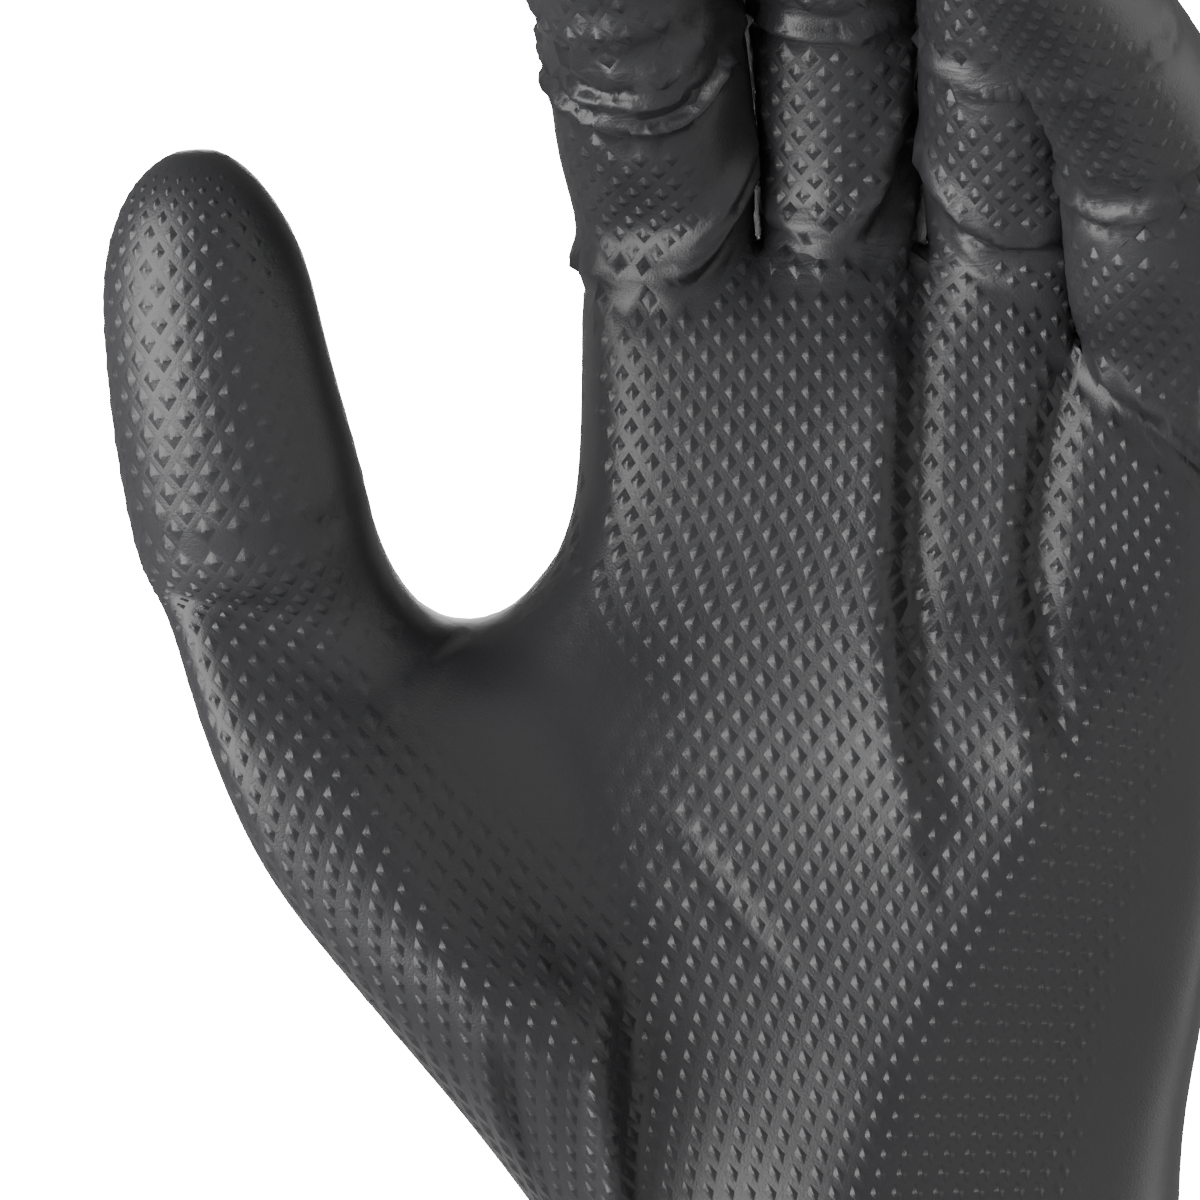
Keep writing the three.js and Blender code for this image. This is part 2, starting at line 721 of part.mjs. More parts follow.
const rimLoop = loopOf(rim);
const start = Math.asin(wall / 2 / beadRadius);
const beadRings = [];
for (let j = 0; j <= beadFacets; j += 1) {
  const turn = mix(start, 2 * Math.PI - start, j / beadFacets);
  beadRings.push(
    rimLoop.map((i) => {
      if (j === 0) return points[i];
      if (j === beadFacets) return inner[i];
      const level = normals[i].clone().setZ(0).normalize();
      const middle = points[i].clone().addScaledVector(level, -wall / 2);
      const p = middle.addScaledVector(level, beadRadius * Math.sin(turn));
      p.z = beadRadius + beadRadius * Math.cos(turn);
      return p;
    }),
  );
}
for (let j = 0; j < beadFacets; j += 1) {
  rimLoop.forEach((_, i) => {
    const k = (i + 1) % rimLoop.length;
    addFace([beadRings[j][i], beadRings[j + 1][i], beadRings[j + 1][k], beadRings[j][k]]);
  });
}

const geometry = new THREE.BufferGeometry();
geometry.setAttribute('position', new THREE.Float32BufferAttribute(corners, 3));
geometry.computeVertexNormals();

const nitrile = new THREE.MeshStandardMaterial({ color: 0x161618, roughness: 0.42, metalness: 0 });
const glove = new THREE.Mesh(geometry, nitrile);
glove.name = 'glove';

const part = new THREE.Group();
part.add(glove);

export default part;
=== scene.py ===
# %% [markdown]
# # A nitrile exam glove
# We build one thin black glove as it looks when it is worn: an open cuff with a rolled bead, a cupped
# palm, an upright thumb and four fingers that curl forward. The real glove is dipped in one go on a
# former, so it is one skin, and the model is one mesh too. All sizes below are millimetres, and the mesh
# is scaled to metres at the end. The palm faces -Y, the fingers point to +Z and the little finger is on
# the +X side.

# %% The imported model
import math
import bpy
import bmesh
import numpy as np
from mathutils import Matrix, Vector, noise


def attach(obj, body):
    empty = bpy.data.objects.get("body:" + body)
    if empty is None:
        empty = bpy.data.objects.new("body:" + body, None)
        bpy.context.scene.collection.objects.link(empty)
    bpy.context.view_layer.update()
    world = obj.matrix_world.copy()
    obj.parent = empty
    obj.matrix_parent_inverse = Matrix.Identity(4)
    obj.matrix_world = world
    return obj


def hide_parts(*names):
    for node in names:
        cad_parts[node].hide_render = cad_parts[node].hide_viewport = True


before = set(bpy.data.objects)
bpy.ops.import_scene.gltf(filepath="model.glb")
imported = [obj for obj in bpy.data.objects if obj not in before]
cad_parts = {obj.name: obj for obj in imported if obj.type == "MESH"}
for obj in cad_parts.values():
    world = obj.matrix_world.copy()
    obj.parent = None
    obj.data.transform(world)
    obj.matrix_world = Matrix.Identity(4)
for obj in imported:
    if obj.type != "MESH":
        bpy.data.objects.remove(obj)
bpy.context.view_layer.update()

# %% [markdown]
# ## The camera
# The photograph looks straight at the palm from a long way off, so a long lens at 0.7 m gives its flat
# perspective. It is made first, because every later check of the shape looks through it.

# %% Camera
SENSOR_WIDTH, DISTANCE, VIEW_WIDTH = 36, 700, 129
camera_data = bpy.data.cameras.new("camera")
camera_data.sensor_width = SENSOR_WIDTH
camera_data.lens = SENSOR_WIDTH * DISTANCE / VIEW_WIDTH
camera_data.clip_start = 0.01
camera = bpy.data.objects.new("camera", camera_data)
camera.location = (-0.029, -DISTANCE / 1000, 0.1214)
camera.rotation_euler = (math.radians(90), 0, 0)
bpy.context.collection.objects.link(camera)
bpy.context.scene.camera = camera
print("lens", round(camera_data.lens, 1), "mm")

# %% [markdown]
# ## The main sizes
# These are the solid model's named sizes: a cuff that narrows to the wrist, a palm, and a length, width
# and depth for each finger. Only the little finger is wider here, and closer to the ring finger. Each
# column of the grid becomes one column of the diamond grip, so the column counts also set how wide the
# diamonds are.

# %% Sizes
WALL = 1.0
FINGER_GAP = 0.5
BEAD_RADIUS = 1.6
CUFF_LENGTH, CUFF_WIDTH, CUFF_DEPTH = 52, 72, 54
WRIST_WIDTH, WRIST_DEPTH = 66, 42
CROTCH_RISE, WEB_RISE, LITTLE_WEB_DROP = 67, 105.5, 8.5
PALM_WIDTH, PALM_DEPTH, WEB_DEPTH, PALM_SHIFT = 69, 27, 21.5, 3.4
THUMB_REACH, THUMB_FORWARD, HEEL_FORWARD = 74, 22, 9
TRUNK_FULLNESS, COLUMN_SLIDE = 2.35, 0.034
WEB_FLARE, WEB_FLARE_FADE = 0.17, 0.12
LITTLE_EDGE_DROP = 0.085
SPINE_BELOW, BLEND_SHARE = 0.3, 0.22

FINGER_COLUMNS, THUMB_COLUMNS, CROTCH_COLUMNS, SIDE_COLUMNS = 7, 8, 3, 3
PALM_COLUMNS = 4 * FINGER_COLUMNS
FRONT_COLUMNS = THUMB_COLUMNS + CROTCH_COLUMNS + PALM_COLUMNS
ROW = 3.9
CUFF_ROW = 5.0
TIP_ROWS = 6

# rise, left, right, depth, thumb edge, heel edge: shares of the way from the wrist to the thumb's web
TRUNK = [
    (0.0, 0.0, 0.0, 0.0, 0.0, 0.0),
    (0.2, 0.235, 0.12, 0.3, 0.3, 0.15),
    (0.4, 0.5, 0.52, 0.52, 0.55, 0.4),
    (0.6, 0.75, 0.85, 0.7, 0.78, 0.65),
    (0.8, 0.9, 1.0, 0.88, 0.92, 0.85),
    (1.0, 1.0, 1.0, 1.0, 1.0, 1.0),
]
FULLNESS = [(0.0, 1.03), (0.16, 1.04), (0.36, 1.02), (0.62, 0.96), (0.85, 0.87), (1.0, 0.82)]
THUMB_FULLNESS = [(0.0, 1.0), (0.2, 1.01), (0.42, 0.97), (0.66, 0.89), (0.85, 0.83), (1.0, 0.8)]

# Each joint is a share of the length, then its curl towards the palm and its lean towards the little finger
# in degrees. across is a share of the palm's width, rise of the web's height and forward of the palm's depth.
# grip gives how far the diamonds reach towards the limb's left and right side, from -1 to 1.
LIMBS = {
    "index": dict(length=83, width=21.2, depth=19, across=-0.368, rise=0.985, forward=0.02, tip=0.1,
                  webs=(False, True), beside=["middle"], fullness=FULLNESS, grip=(-0.92, 0.34),
                  joints=[(0, 4, 0), (0.34, 27, -5), (0.64, 46, -14), (1, 68, -6)]),
    "middle": dict(length=87, width=20, depth=18.6, across=-0.093, rise=0.995, forward=-0.06, tip=0.1,
                   webs=(True, True), beside=["index", "ring"], fullness=FULLNESS, grip=(-0.95, 0.9),
                   joints=[(0, 4, 0), (0.36, 22, -2), (0.65, 45, -5), (1, 66, -7)]),
    "ring": dict(length=84, width=19.4, depth=18.2, across=0.168, rise=0.97, forward=0.14, tip=0.1,
                 webs=(True, True), beside=["middle", "little"], fullness=FULLNESS, grip=(-0.95, 0.9),
                 joints=[(0, 6, 0), (0.36, 28, -2), (0.66, 46, -4), (1, 68, -3)]),
    "little": dict(length=73, width=19.4, depth=17.4, across=0.382, rise=0.89, forward=0.42, tip=0.1,
                   webs=(True, False), beside=["ring"], fullness=FULLNESS, grip=(-0.95, 0.5),
                   joints=[(0, 10, 0), (0.36, 32, -4), (0.67, 53, -22), (1, 65, -24)]),
    "thumb": dict(length=53, width=25.4, depth=22.5, across=-0.952, rise=0.635, forward=0.52, tip=0.3,
                  webs=(False, True), beside=[], fullness=THUMB_FULLNESS, grip=(-0.96, 0.62),
                  joints=[(0, 18, -26), (0.42, 25, -13), (0.78, 18, -8), (1, 14, -3)]),
}
print("rings of", 2 * (FRONT_COLUMNS + SIDE_COLUMNS), "points on the trunk")


# %% [markdown]
# ## Reading the tables
# A few small helpers turn the tables into smooth curves. `smooth` eases between 0 and 1, `mix` blends two
# numbers, and `read` draws a curve through the rows of a table, so no row shows as a kink in the skin.

# %% Curve helpers
def smooth(t):
    s = min(1.0, max(0.0, t))
    return s * s * (3 - 2 * s)


def mix(a, b, t):
    return a + (b - a) * t


def read(rows, t, column=1):
    i = 0
    while i < len(rows) - 2 and t > rows[i + 1][0]:
        i += 1
    a = rows[i]
    b = rows[i + 1]
    before = rows[max(0, i - 1)]
    after = rows[min(len(rows) - 1, i + 2)]
    span = b[0] - a[0]
    flat = (b[column] - a[column]) / span
    slope_a = flat if before is a else (b[column] - before[column]) / (b[0] - before[0])
    slope_b = flat if after is b else (after[column] - a[column]) / (after[0] - a[0])
    s = min(1.0, max(0.0, (t - a[0]) / span))
    return (
        (2 * s**3 - 3 * s**2 + 1) * a[column]
        + (s**3 - 2 * s**2 + s) * span * slope_a
        + (3 * s**2 - 2 * s**3) * b[column]
        + (s**3 - s**2) * span * slope_b
    )


print("trunk depth share half way up:", round(read(TRUNK, 0.5, 3), 3))


# %% [markdown]
# ## The trunk's sections
# Cut across, the cuff, wrist and palm are flat ovals. `half_oval` walks along the front half of one by
# equal steps of length, so the grid's columns stay evenly wide. `trunk_at` gives the oval's size at a
# height, and `trunk_place` bends it, because a worn palm is cupped: the thumb's side and the little
# finger's side both stand further forward than the middle.

# %% Trunk sections
def half_oval(half_width, half_depth, steps=160):
    turn = np.linspace(0, math.pi, steps + 1)
    power = 2 / TRUNK_FULLNESS
    x = -np.sign(np.cos(turn)) * np.abs(np.cos(turn)) ** power * half_width
    y = np.abs(np.sin(turn)) ** power * half_depth
    length = np.concatenate([[0], np.cumsum(np.hypot(np.diff(x), np.diff(y)))])
    share = length / length[-1]
    return lambda s: (float(np.interp(s, share, x)), float(np.interp(s, share, y)))


def trunk_at(height):
    if height < CUFF_LENGTH:
        t = smooth(height / CUFF_LENGTH)
        half = mix(CUFF_WIDTH, WRIST_WIDTH, t) / 2
        depth = mix(CUFF_DEPTH, WRIST_DEPTH, t) / 2
        return dict(left=-half, right=half, depth=depth, thumb=0, heel=0, slide=0)
    rise = height - CUFF_LENGTH
    palm_right = PALM_WIDTH / 2 + PALM_SHIFT
    if rise <= CROTCH_RISE:
        t = rise / CROTCH_RISE
        return dict(
            left=-mix(WRIST_WIDTH / 2, THUMB_REACH, read(TRUNK, t, 1)),
            right=mix(WRIST_WIDTH / 2, palm_right, read(TRUNK, t, 2)),
            depth=mix(WRIST_DEPTH, PALM_DEPTH, read(TRUNK, t, 3)) / 2,
            thumb=-THUMB_FORWARD * read(TRUNK, t, 4),
            heel=-HEEL_FORWARD * read(TRUNK, t, 5),
            slide=COLUMN_SLIDE * smooth(t),
        )
    above = (rise - CROTCH_RISE) / (WEB_RISE - CROTCH_RISE)
    return dict(
        left=-PALM_WIDTH / 2 + PALM_SHIFT - WEB_FLARE * PALM_WIDTH * math.exp(-above / WEB_FLARE_FADE),
        right=palm_right,
        depth=mix(PALM_DEPTH, WEB_DEPTH, smooth(above)) / 2,
        thumb=-THUMB_FORWARD * 0.2 * (1 - smooth(2 * above)),
        heel=-HEEL_FORWARD,
        slide=COLUMN_SLIDE,
    )


def trunk_place(section, height, share, side):
    half = (section["right"] - section["left"]) / 2
    x, y = section["curve"](share + section["slide"] * math.sin(math.pi * share))
    across = x / half
    bend = (section["thumb"] if across < 0 else section["heel"]) * across * across
    drop = smooth((height - CUFF_LENGTH) / WEB_RISE) * LITTLE_EDGE_DROP * WEB_RISE * max(0, across) ** 2
    return Vector(((section["left"] + section["right"]) / 2 + x, bend - side * y, height - drop))


for height in (2, 52, 119, 157):
    section = trunk_at(height)
    print("section at", height, "mm:", round(section["right"] - section["left"], 1), "wide")


# %% [markdown]
# ## Rings of points
# The skin is grown the way a knitter works: ring by ring. A `Ring` keeps four rows of mesh points, its
# front and back (left to right) and its two sides (front to back), because later a ring is cut in two
# where the thumb or a finger branches off. `trunk_places` lists where a trunk ring's points go.

# %% Ring places
class Ring:
    def __init__(self, front, back, left, right):
        self.front = front
        self.back = back
        self.left = left
        self.right = right

    def loop(self):
        return [*self.front, *self.right, *reversed(self.back), *reversed(self.left)]


def ring_of(loop, columns):
    front = loop[: columns + 1]
    right = loop[columns + 1 : columns + SIDE_COLUMNS]
    back = loop[columns + SIDE_COLUMNS : 2 * columns + SIDE_COLUMNS + 1][::-1]
    left = loop[2 * columns + SIDE_COLUMNS + 1 :][::-1]
    return Ring(front, back, left, right)


def trunk_places(height, columns):
    section = trunk_at(height)
    half = (section["right"] - section["left"]) / 2
    section["curve"] = half_oval(half, section["depth"])
    total = columns + SIDE_COLUMNS
    shares = [(j + SIDE_COLUMNS / 2) / total for j in range(2 * total)]
    places = []
    for share in shares:
        if share <= 1:
            places.append(trunk_place(section, height, share, 1))
        else:
            places.append(trunk_place(section, height, 2 - share, -1))
    return places


print("places in one palm ring:", len(trunk_places(130, PALM_COLUMNS)))


# %% [markdown]
# ## Finger spines
# Each finger is a tube round a curved centre line, its spine. The spine starts inside the palm, so the
# finger leaves the palm in the right direction, and turns a little at each joint. `Spine` keeps a smooth
# curve through the joints as closely spaced samples, and gives the place and the directions at any share
# of the length.

# %% Spines
class Spine:
    def __init__(self, limb, steps=60):
        root = Vector((
            PALM_SHIFT + limb["across"] * PALM_WIDTH,
            -limb["forward"] * PALM_DEPTH,
            CUFF_LENGTH + limb["rise"] * WEB_RISE,
        ))
        stops = []
        last = root
        reached = 0
        for share, curl, lean in limb["joints"]:
            curl = math.radians(curl)
            lean = math.radians(lean)
            way = Vector((math.sin(lean), -math.cos(lean) * math.sin(curl), math.cos(lean) * math.cos(curl)))
            if not stops:
                stops.append(root - way * SPINE_BELOW * limb["length"])
            last = last + way * (share - reached) * limb["length"]
            reached = share
            stops.append(last)
        ends = [2 * stops[0] - stops[1], *stops, 2 * stops[-1] - stops[-2]]
        samples = []
        for a, b, c, d in zip(ends, ends[1:], ends[2:], ends[3:]):
            for k in range(steps):
                t = k / steps
                samples.append(
                    b
                    + (c - a) * 0.5 * t
                    + (a - 2.5 * b + 2 * c - 0.5 * d) * t**2
                    + (1.5 * b - 0.5 * a - 1.5 * c + 0.5 * d) * t**3
                )
        samples.append(stops[-1])
        self.points = np.array([tuple(p) for p in samples])
        gaps = np.linalg.norm(np.diff(self.points, axis=0), axis=1)
        length = np.concatenate([[0], np.cumsum(gaps)])
        self.shares = (length - length[steps]) / (length[-1] - length[steps])

    def place(self, share):
        return Vector([float(np.interp(share, self.shares, self.points[:, k])) for k in range(3)])

    def frame(self, share):
        share = min(1.0, max(float(self.shares[0]), share))
        low = max(float(self.shares[0]), share - 0.01)
        high = min(1.0, share + 0.01)
        along = (self.place(high) - self.place(low)).normalized()
        across = (Vector((1, 0, 0)) - along * along.x).normalized()
        return self.place(share), along, across, along.cross(across)


for name, limb in LIMBS.items():
    limb["spine"] = Spine(limb)
    limb["rings"] = []
    print(name, "tip at", [round(v, 1) for v in limb["spine"].place(1)])


# %% [markdown]
# A finger's ring is an oval across its spine. Near the root it keeps the form of the ring that it grew
# from and lets go of it slowly, except beside a web, where it has to turn sharply away from its
# neighbour.

# %% Finger places
def limb_places(limb, share, columns):
    middle, along, across, back = limb["spine"].frame(share)
    into = max(0, (share - 1 + limb["tip"]) / limb["tip"])
    size = read(limb["fullness"], share) * math.sqrt(max(0, 1 - into * into))
    count = 2 * (columns + SIDE_COLUMNS)
    places = []
    for i in range(count):
        turn = 2 * math.pi * (i + SIDE_COLUMNS / 2) / count
        places.append(
            middle
            - across * math.cos(turn) * limb["width"] * size / 2
            - back * math.sin(turn) * limb["depth"] * size / 2
        )
    return places


def openness(limb, i, count):
    across = -math.cos(2 * math.pi * (i + SIDE_COLUMNS / 2) / count)
    near_web = max(-across if limb["webs"][0] else -1, across if limb["webs"][1] else -1)
    return 1 - smooth((near_web + 0.1) / 0.7)


print("index ring half way:", len(limb_places(LIMBS["index"], 0.5, FINGER_COLUMNS)), "points")

# %% [markdown]
# ## Growing the skin
# The mesh starts as one circle of points, moved to the cuff's rim. `next_row` makes the points of the
# next ring and joins both rings with a row of faces, always in the same order, so every run gives the
# same mesh. Layers keep what later steps ask about: the limb that a point belongs to, how strong the grip
# is there, how far it will rise, how crumpled the film is, and which faces are cut finer.

# %% First ring and rows
skin = bmesh.new()
LIMB = skin.verts.layers.int.new("limb")
GRIP = skin.verts.layers.float.new("grip")
RISE = skin.verts.layers.float.new("rise")
CREASED = skin.verts.layers.float.new("crumple")
FINE = skin.faces.layers.int.new("fine")
bead_top = BEAD_RADIUS + math.sqrt(BEAD_RADIUS**2 - (WALL / 2) ** 2)
first = trunk_places(bead_top, FRONT_COLUMNS)
bmesh.ops.create_circle(skin, segments=len(first), radius=1)
skin.verts.ensure_lookup_table()
for point, place in zip(skin.verts, first):
    point.co = place
rim = ring_of(list(skin.verts), FRONT_COLUMNS)


def next_row(loop, places, tag=0):
    upper = [skin.verts.new(place) for place in places]
    for point in upper:
        point[LIMB] = tag
    for corners in zip(loop, loop[1:] + loop[:1], upper[1:] + upper[:1], upper):
        skin.faces.new(corners)
    return upper


def heights_between(low, high, pitch):
    count = max(1, round((high - low) / pitch))
    return [mix(low, high, (i + 1) / count) for i in range(count)]


def climb(ring, heights, columns):
    for height in heights:
        ring = ring_of(next_row(ring.loop(), trunk_places(height, columns)), columns)
    return ring


wrist = climb(rim, heights_between(bead_top, CUFF_LENGTH - 8, CUFF_ROW), FRONT_COLUMNS)
crotch = climb(wrist, heights_between(CUFF_LENGTH - 8, CUFF_LENGTH + CROTCH_RISE, ROW), FRONT_COLUMNS)
print("rows up to the thumb's web:", len(skin.faces) // len(first))


# %% [markdown]
# ## Webs
# Where the thumb leaves the hand, the last ring is cut in two, and a saddle of film joins its front to
# its back between the two new openings. Chains of edges are laid from front to back, and faces fill the
# film between two neighbouring chains. Between two fingers one chain is enough, because their tubes meet
# in a single line.

# %% Cutting a ring in two
def web_chain(a, b):
    inner = []
    for j in range(1, SIDE_COLUMNS):
        t = j / SIDE_COLUMNS
        inner.append(skin.verts.new(a.co.lerp(b.co, t) + Vector((0, 0, WALL * math.sin(math.pi * t)))))
    for p, q in zip([a, *inner], [*inner, b]):
        skin.edges.new((p, q))
    return inner


def split(ring, a, b):
    chains = [web_chain(ring.front[k], ring.back[k]) for k in range(a, b + 1)]
    for k in range(a, b):
        left = [ring.front[k], *chains[k - a], ring.back[k]]
        right = [ring.front[k + 1], *chains[k + 1 - a], ring.back[k + 1]]
        for p, q, r, s in zip(left, right, right[1:], left[1:]):
            skin.faces.new((p, q, r, s))
    return (
        Ring(ring.front[: a + 1], ring.back[: a + 1], ring.left, chains[0]),
        Ring(ring.front[b:], ring.back[b:], chains[-1], ring.right),
    )


little_web = CUFF_LENGTH + WEB_RISE - LITTLE_WEB_DROP
web_height = CUFF_LENGTH + WEB_RISE
thumb_root, palm_root = split(crotch, THUMB_COLUMNS, THUMB_COLUMNS + CROTCH_COLUMNS)
palm_top = climb(palm_root, heights_between(CUFF_LENGTH + CROTCH_RISE, little_web, ROW), PALM_COLUMNS)
three, little_root = split(palm_top, 3 * FINGER_COLUMNS, 3 * FINGER_COLUMNS)

# %% [markdown]
# The little finger branches off lower than the others. Above its web the palm goes on with the columns of
# three fingers only, and its right edge draws in a little to leave the little finger room.

# %% Three-finger rows
for height in heights_between(little_web, web_height, ROW):
    whole = ring_of(trunk_places(height, PALM_COLUMNS), PALM_COLUMNS)
    cut = 3 * FINGER_COLUMNS
    a = whole.front[cut] - Vector((WALL, 0, 0))
    b = whole.back[cut] - Vector((WALL, 0, 0))
    side = [a.lerp(b, (j + 1) / SIDE_COLUMNS) for j in range(SIDE_COLUMNS - 1)]
    places = Ring([*whole.front[:cut], a], [*whole.back[:cut], b], whole.left, side)
    three = ring_of(next_row(three.loop(), places.loop()), cut)
    for point in three.right:
        point[LIMB] = 1 + list(LIMBS).index("ring")
index_root, two = split(three, FINGER_COLUMNS, FINGER_COLUMNS)
middle_root, ring_root = split(two, FINGER_COLUMNS, FINGER_COLUMNS)
print("faces before the fingers:", len(skin.faces))


# %% [markdown]
# ## Fingers
# Every finger grows from its root ring in rows of the same height as the palm's, and the last rows shrink
# to a small ring, which one face closes. Poking that face makes a fan of triangles, a neat rounded tip.

# %% Growing the fingers
def grow_limb(name, root, columns):
    limb = LIMBS[name]
    tag = 1 + list(LIMBS).index(name)
    tip = limb["tip"]
    straight = round((1 - tip) * limb["length"] / ROW)
    shares = [(1 - tip) * (i + 1) / straight for i in range(straight)]
    shares += [1 - tip + tip * math.sin(math.pi / 2 * (i + 1) / (TIP_ROWS + 1)) for i in range(TIP_ROWS)]
    start = root.loop()
    start_places = [point.co.copy() for point in start]
    middle = limb["spine"].place(0)
    loop = start
    for share in shares:
        places = limb_places(limb, share, columns)
        step = limb["spine"].place(share) - middle
        for i, place in enumerate(places):
            slow = openness(limb, i, len(start)) * (1 - smooth(share / BLEND_SHARE))
            places[i] = place.lerp(start_places[i] + step, slow)
        loop = next_row(loop, places, tag)
        limb["rings"].append((share, loop))
    cap = skin.faces.new(loop)
    centre = bmesh.ops.poke(skin, faces=[cap])["verts"][0]
    centre.co = limb["spine"].place(1)
    centre[LIMB] = tag
    print(name, "has", len(shares), "rows")


grow_limb("thumb", thumb_root, THUMB_COLUMNS)
grow_limb("index", index_root, FINGER_COLUMNS)
grow_limb("middle", middle_root, FINGER_COLUMNS)
grow_limb("ring", ring_root, FINGER_COLUMNS)
grow_limb("little", little_root, FINGER_COLUMNS)
bmesh.ops.recalc_face_normals(skin, faces=skin.faces)
print("faces of the plain skin:", len(skin.faces))

# %% [markdown]
# ## Evening out the webs
# Where branches meet, the grid is bunched up and would crease. `smooth_vert` moves each point towards the
# middle of its neighbours. It runs over a few nested zones, so the film is smoothest right at the webs.

# %% Smooth webs
thumb_web = slice(THUMB_COLUMNS, THUMB_COLUMNS + CROTCH_COLUMNS + 1)
web_points = [*crotch.front[thumb_web], *crotch.back[thumb_web]]
for ring, fingers in ((palm_top, 3), (three, 1), (three, 2)):
    web_points += [ring.front[fingers * FINGER_COLUMNS], ring.back[fingers * FINGER_COLUMNS]]
web_places = [point.co.copy() for point in web_points]


def even_out(points, rounds):
    for _ in range(rounds):
        bmesh.ops.smooth_vert(
            skin, verts=points, factor=0.5, use_axis_x=True, use_axis_y=True, use_axis_z=True
        )


for reach, rounds in ((16, 2), (11, 3), (7, 4)):
    near = [v for v in skin.verts if min((v.co - p).length for p in web_places) < reach and not v.is_boundary]
    even_out(near, rounds)
print("points evened out last:", len(near))

# %% [markdown]
# ## Where the grip is
# The former has its diamonds on the faces of the hand and leaves plain strips along the sides of the
# fingers, at the saddle beside the thumb and at the outer edge of the hand. Each point gets a strength
# from 0 to 1, and a diamond later takes the mean of its corners, so the pattern fades out instead of
# stopping at a line.

# %% Grip strength
GRIP_BOTTOM, BOTTOM_FADE = 40, 10
EDGE_AT_HEEL, EDGE_AT_KNUCKLES, EDGE_FADE = 17, 29, 6
HEEL_HEIGHT, HEEL_TO_KNUCKLES = 55, 65
SIDE_FADE, ROOT_SHARE = 0.22, 0.12
PLAIN_SPOTS = [
    # x, z, radius in which the film is plain, distance over which the grip comes back, strength kept
    (-43, 116, 7, 9, 0.0),
    (-36, 111, 8, 9, 0.15),
    (-29, 101, 8, 10, 0.45),
    (-28, 154.5, 3, 4, 0.0),
]


def fade(value, start, width):
    return smooth((value - start) / width)


def trunk_grip(p):
    edge = mix(EDGE_AT_HEEL, EDGE_AT_KNUCKLES, smooth((p.z - HEEL_HEIGHT) / HEEL_TO_KNUCKLES))
    strength = 1 - fade(p.x, edge, EDGE_FADE)
    strength *= fade(p.z, GRIP_BOTTOM, BOTTOM_FADE)
    for x, z, radius, width, kept in PLAIN_SPOTS:
        distance = math.hypot(p.x - x, p.z - z)
        strength *= mix(kept, 1, fade(distance, radius, width))
    return strength


skin.normal_update()
for v in skin.verts:
    v[GRIP] = trunk_grip(v.co) * fade(abs(v.normal.y), 0.1, 0.35) if v[LIMB] == 0 else 0
for limb in LIMBS.values():
    left, right = limb["grip"]
    for share, loop in limb["rings"]:
        for i, v in enumerate(loop):
            across = -math.cos(2 * math.pi * (i + SIDE_COLUMNS / 2) / len(loop))
            strength = fade(across, left - 0.12, SIDE_FADE) * (1 - fade(across, right - 0.1, SIDE_FADE))
            strength *= 1 - fade(share, 1 - 0.28 * limb["tip"], 0.26 * limb["tip"])
            if share < ROOT_SHARE:
                strength = min(strength, mix(trunk_grip(v.co), strength, share / ROOT_SHARE))
            v[GRIP] = strength
print("mean strength:", round(sum(v[GRIP] for v in skin.verts) / len(skin.verts), 2))

# %% [markdown]
# ## The inner face
# The film has an inner face too, which shows in the open cuff. A copy of the plain grid is kept for it
# now. It stays smooth, because the grip is pressed into the outside only.

# %% Copy for the inner face
inner = skin.copy()
print("faces kept for the inside:", len(inner.faces))

# %% [markdown]
# ## From squares to diamonds
# Raised diamonds sit on a grid that is turned by 45 degrees. Poking a square gives it a centre point, and
# when the square's own edges are dissolved, the triangles on both sides of each edge join into one
# diamond. So every edge of the old grid becomes a diamond. The cuff keeps its squares, because it is
# plain there. Two rounds of smoothing then lift the new centre points onto the curve of the skin.

# %% Diamond grid
DIAMONDS_FROM = 38
PYRAMIDS_FROM = 42


def centre_of(face):
    return face.calc_center_median()


squares = [f for f in skin.faces if len(f.verts) == 4 and centre_of(f).z > DIAMONDS_FROM]
old_edges = dict.fromkeys(e for f in squares for e in f.edges)
centres = bmesh.ops.poke(skin, faces=squares)["verts"]
centre_set = set(centres)
for v in centres:
    corners = [e.other_vert(v) for e in v.link_edges]
    v[GRIP] = sum(c[GRIP] for c in corners) / len(corners)
    v[LIMB] = max(c[LIMB] for c in corners)


def between_centres(edge):
    return len(edge.link_faces) == 2 and all(
        len(f.verts) == 3 and any(v in centre_set for v in f.verts) for f in edge.link_faces
    )


old_edges = [e for e in old_edges if e.is_valid and between_centres(e)]
bmesh.ops.dissolve_edges(skin, edges=old_edges, use_verts=False, use_face_split=False)
even_out([v for v in skin.verts if not v.is_boundary], 2)
print("diamonds:", sum(len(f.verts) == 4 and centre_of(f).z > PYRAMIDS_FROM for f in skin.faces))

# %% [markdown]
# ## Folds
# Worn film bunches up where the fingers bend and where they meet the palm. Every fold here is one row of
# a table: a line across a finger or over the palm, with a height and a width on each of its two sides. A
# narrow side makes the crisp edge of a roll that lies over itself, and a negative height makes a crease.
# The height of all folds is added up for each point, so folds cross and fade into each other like real
# ones. Slopes are wider: they give the palm its long lobes, which rise slowly from the thumb's side and
# drop into the next groove.

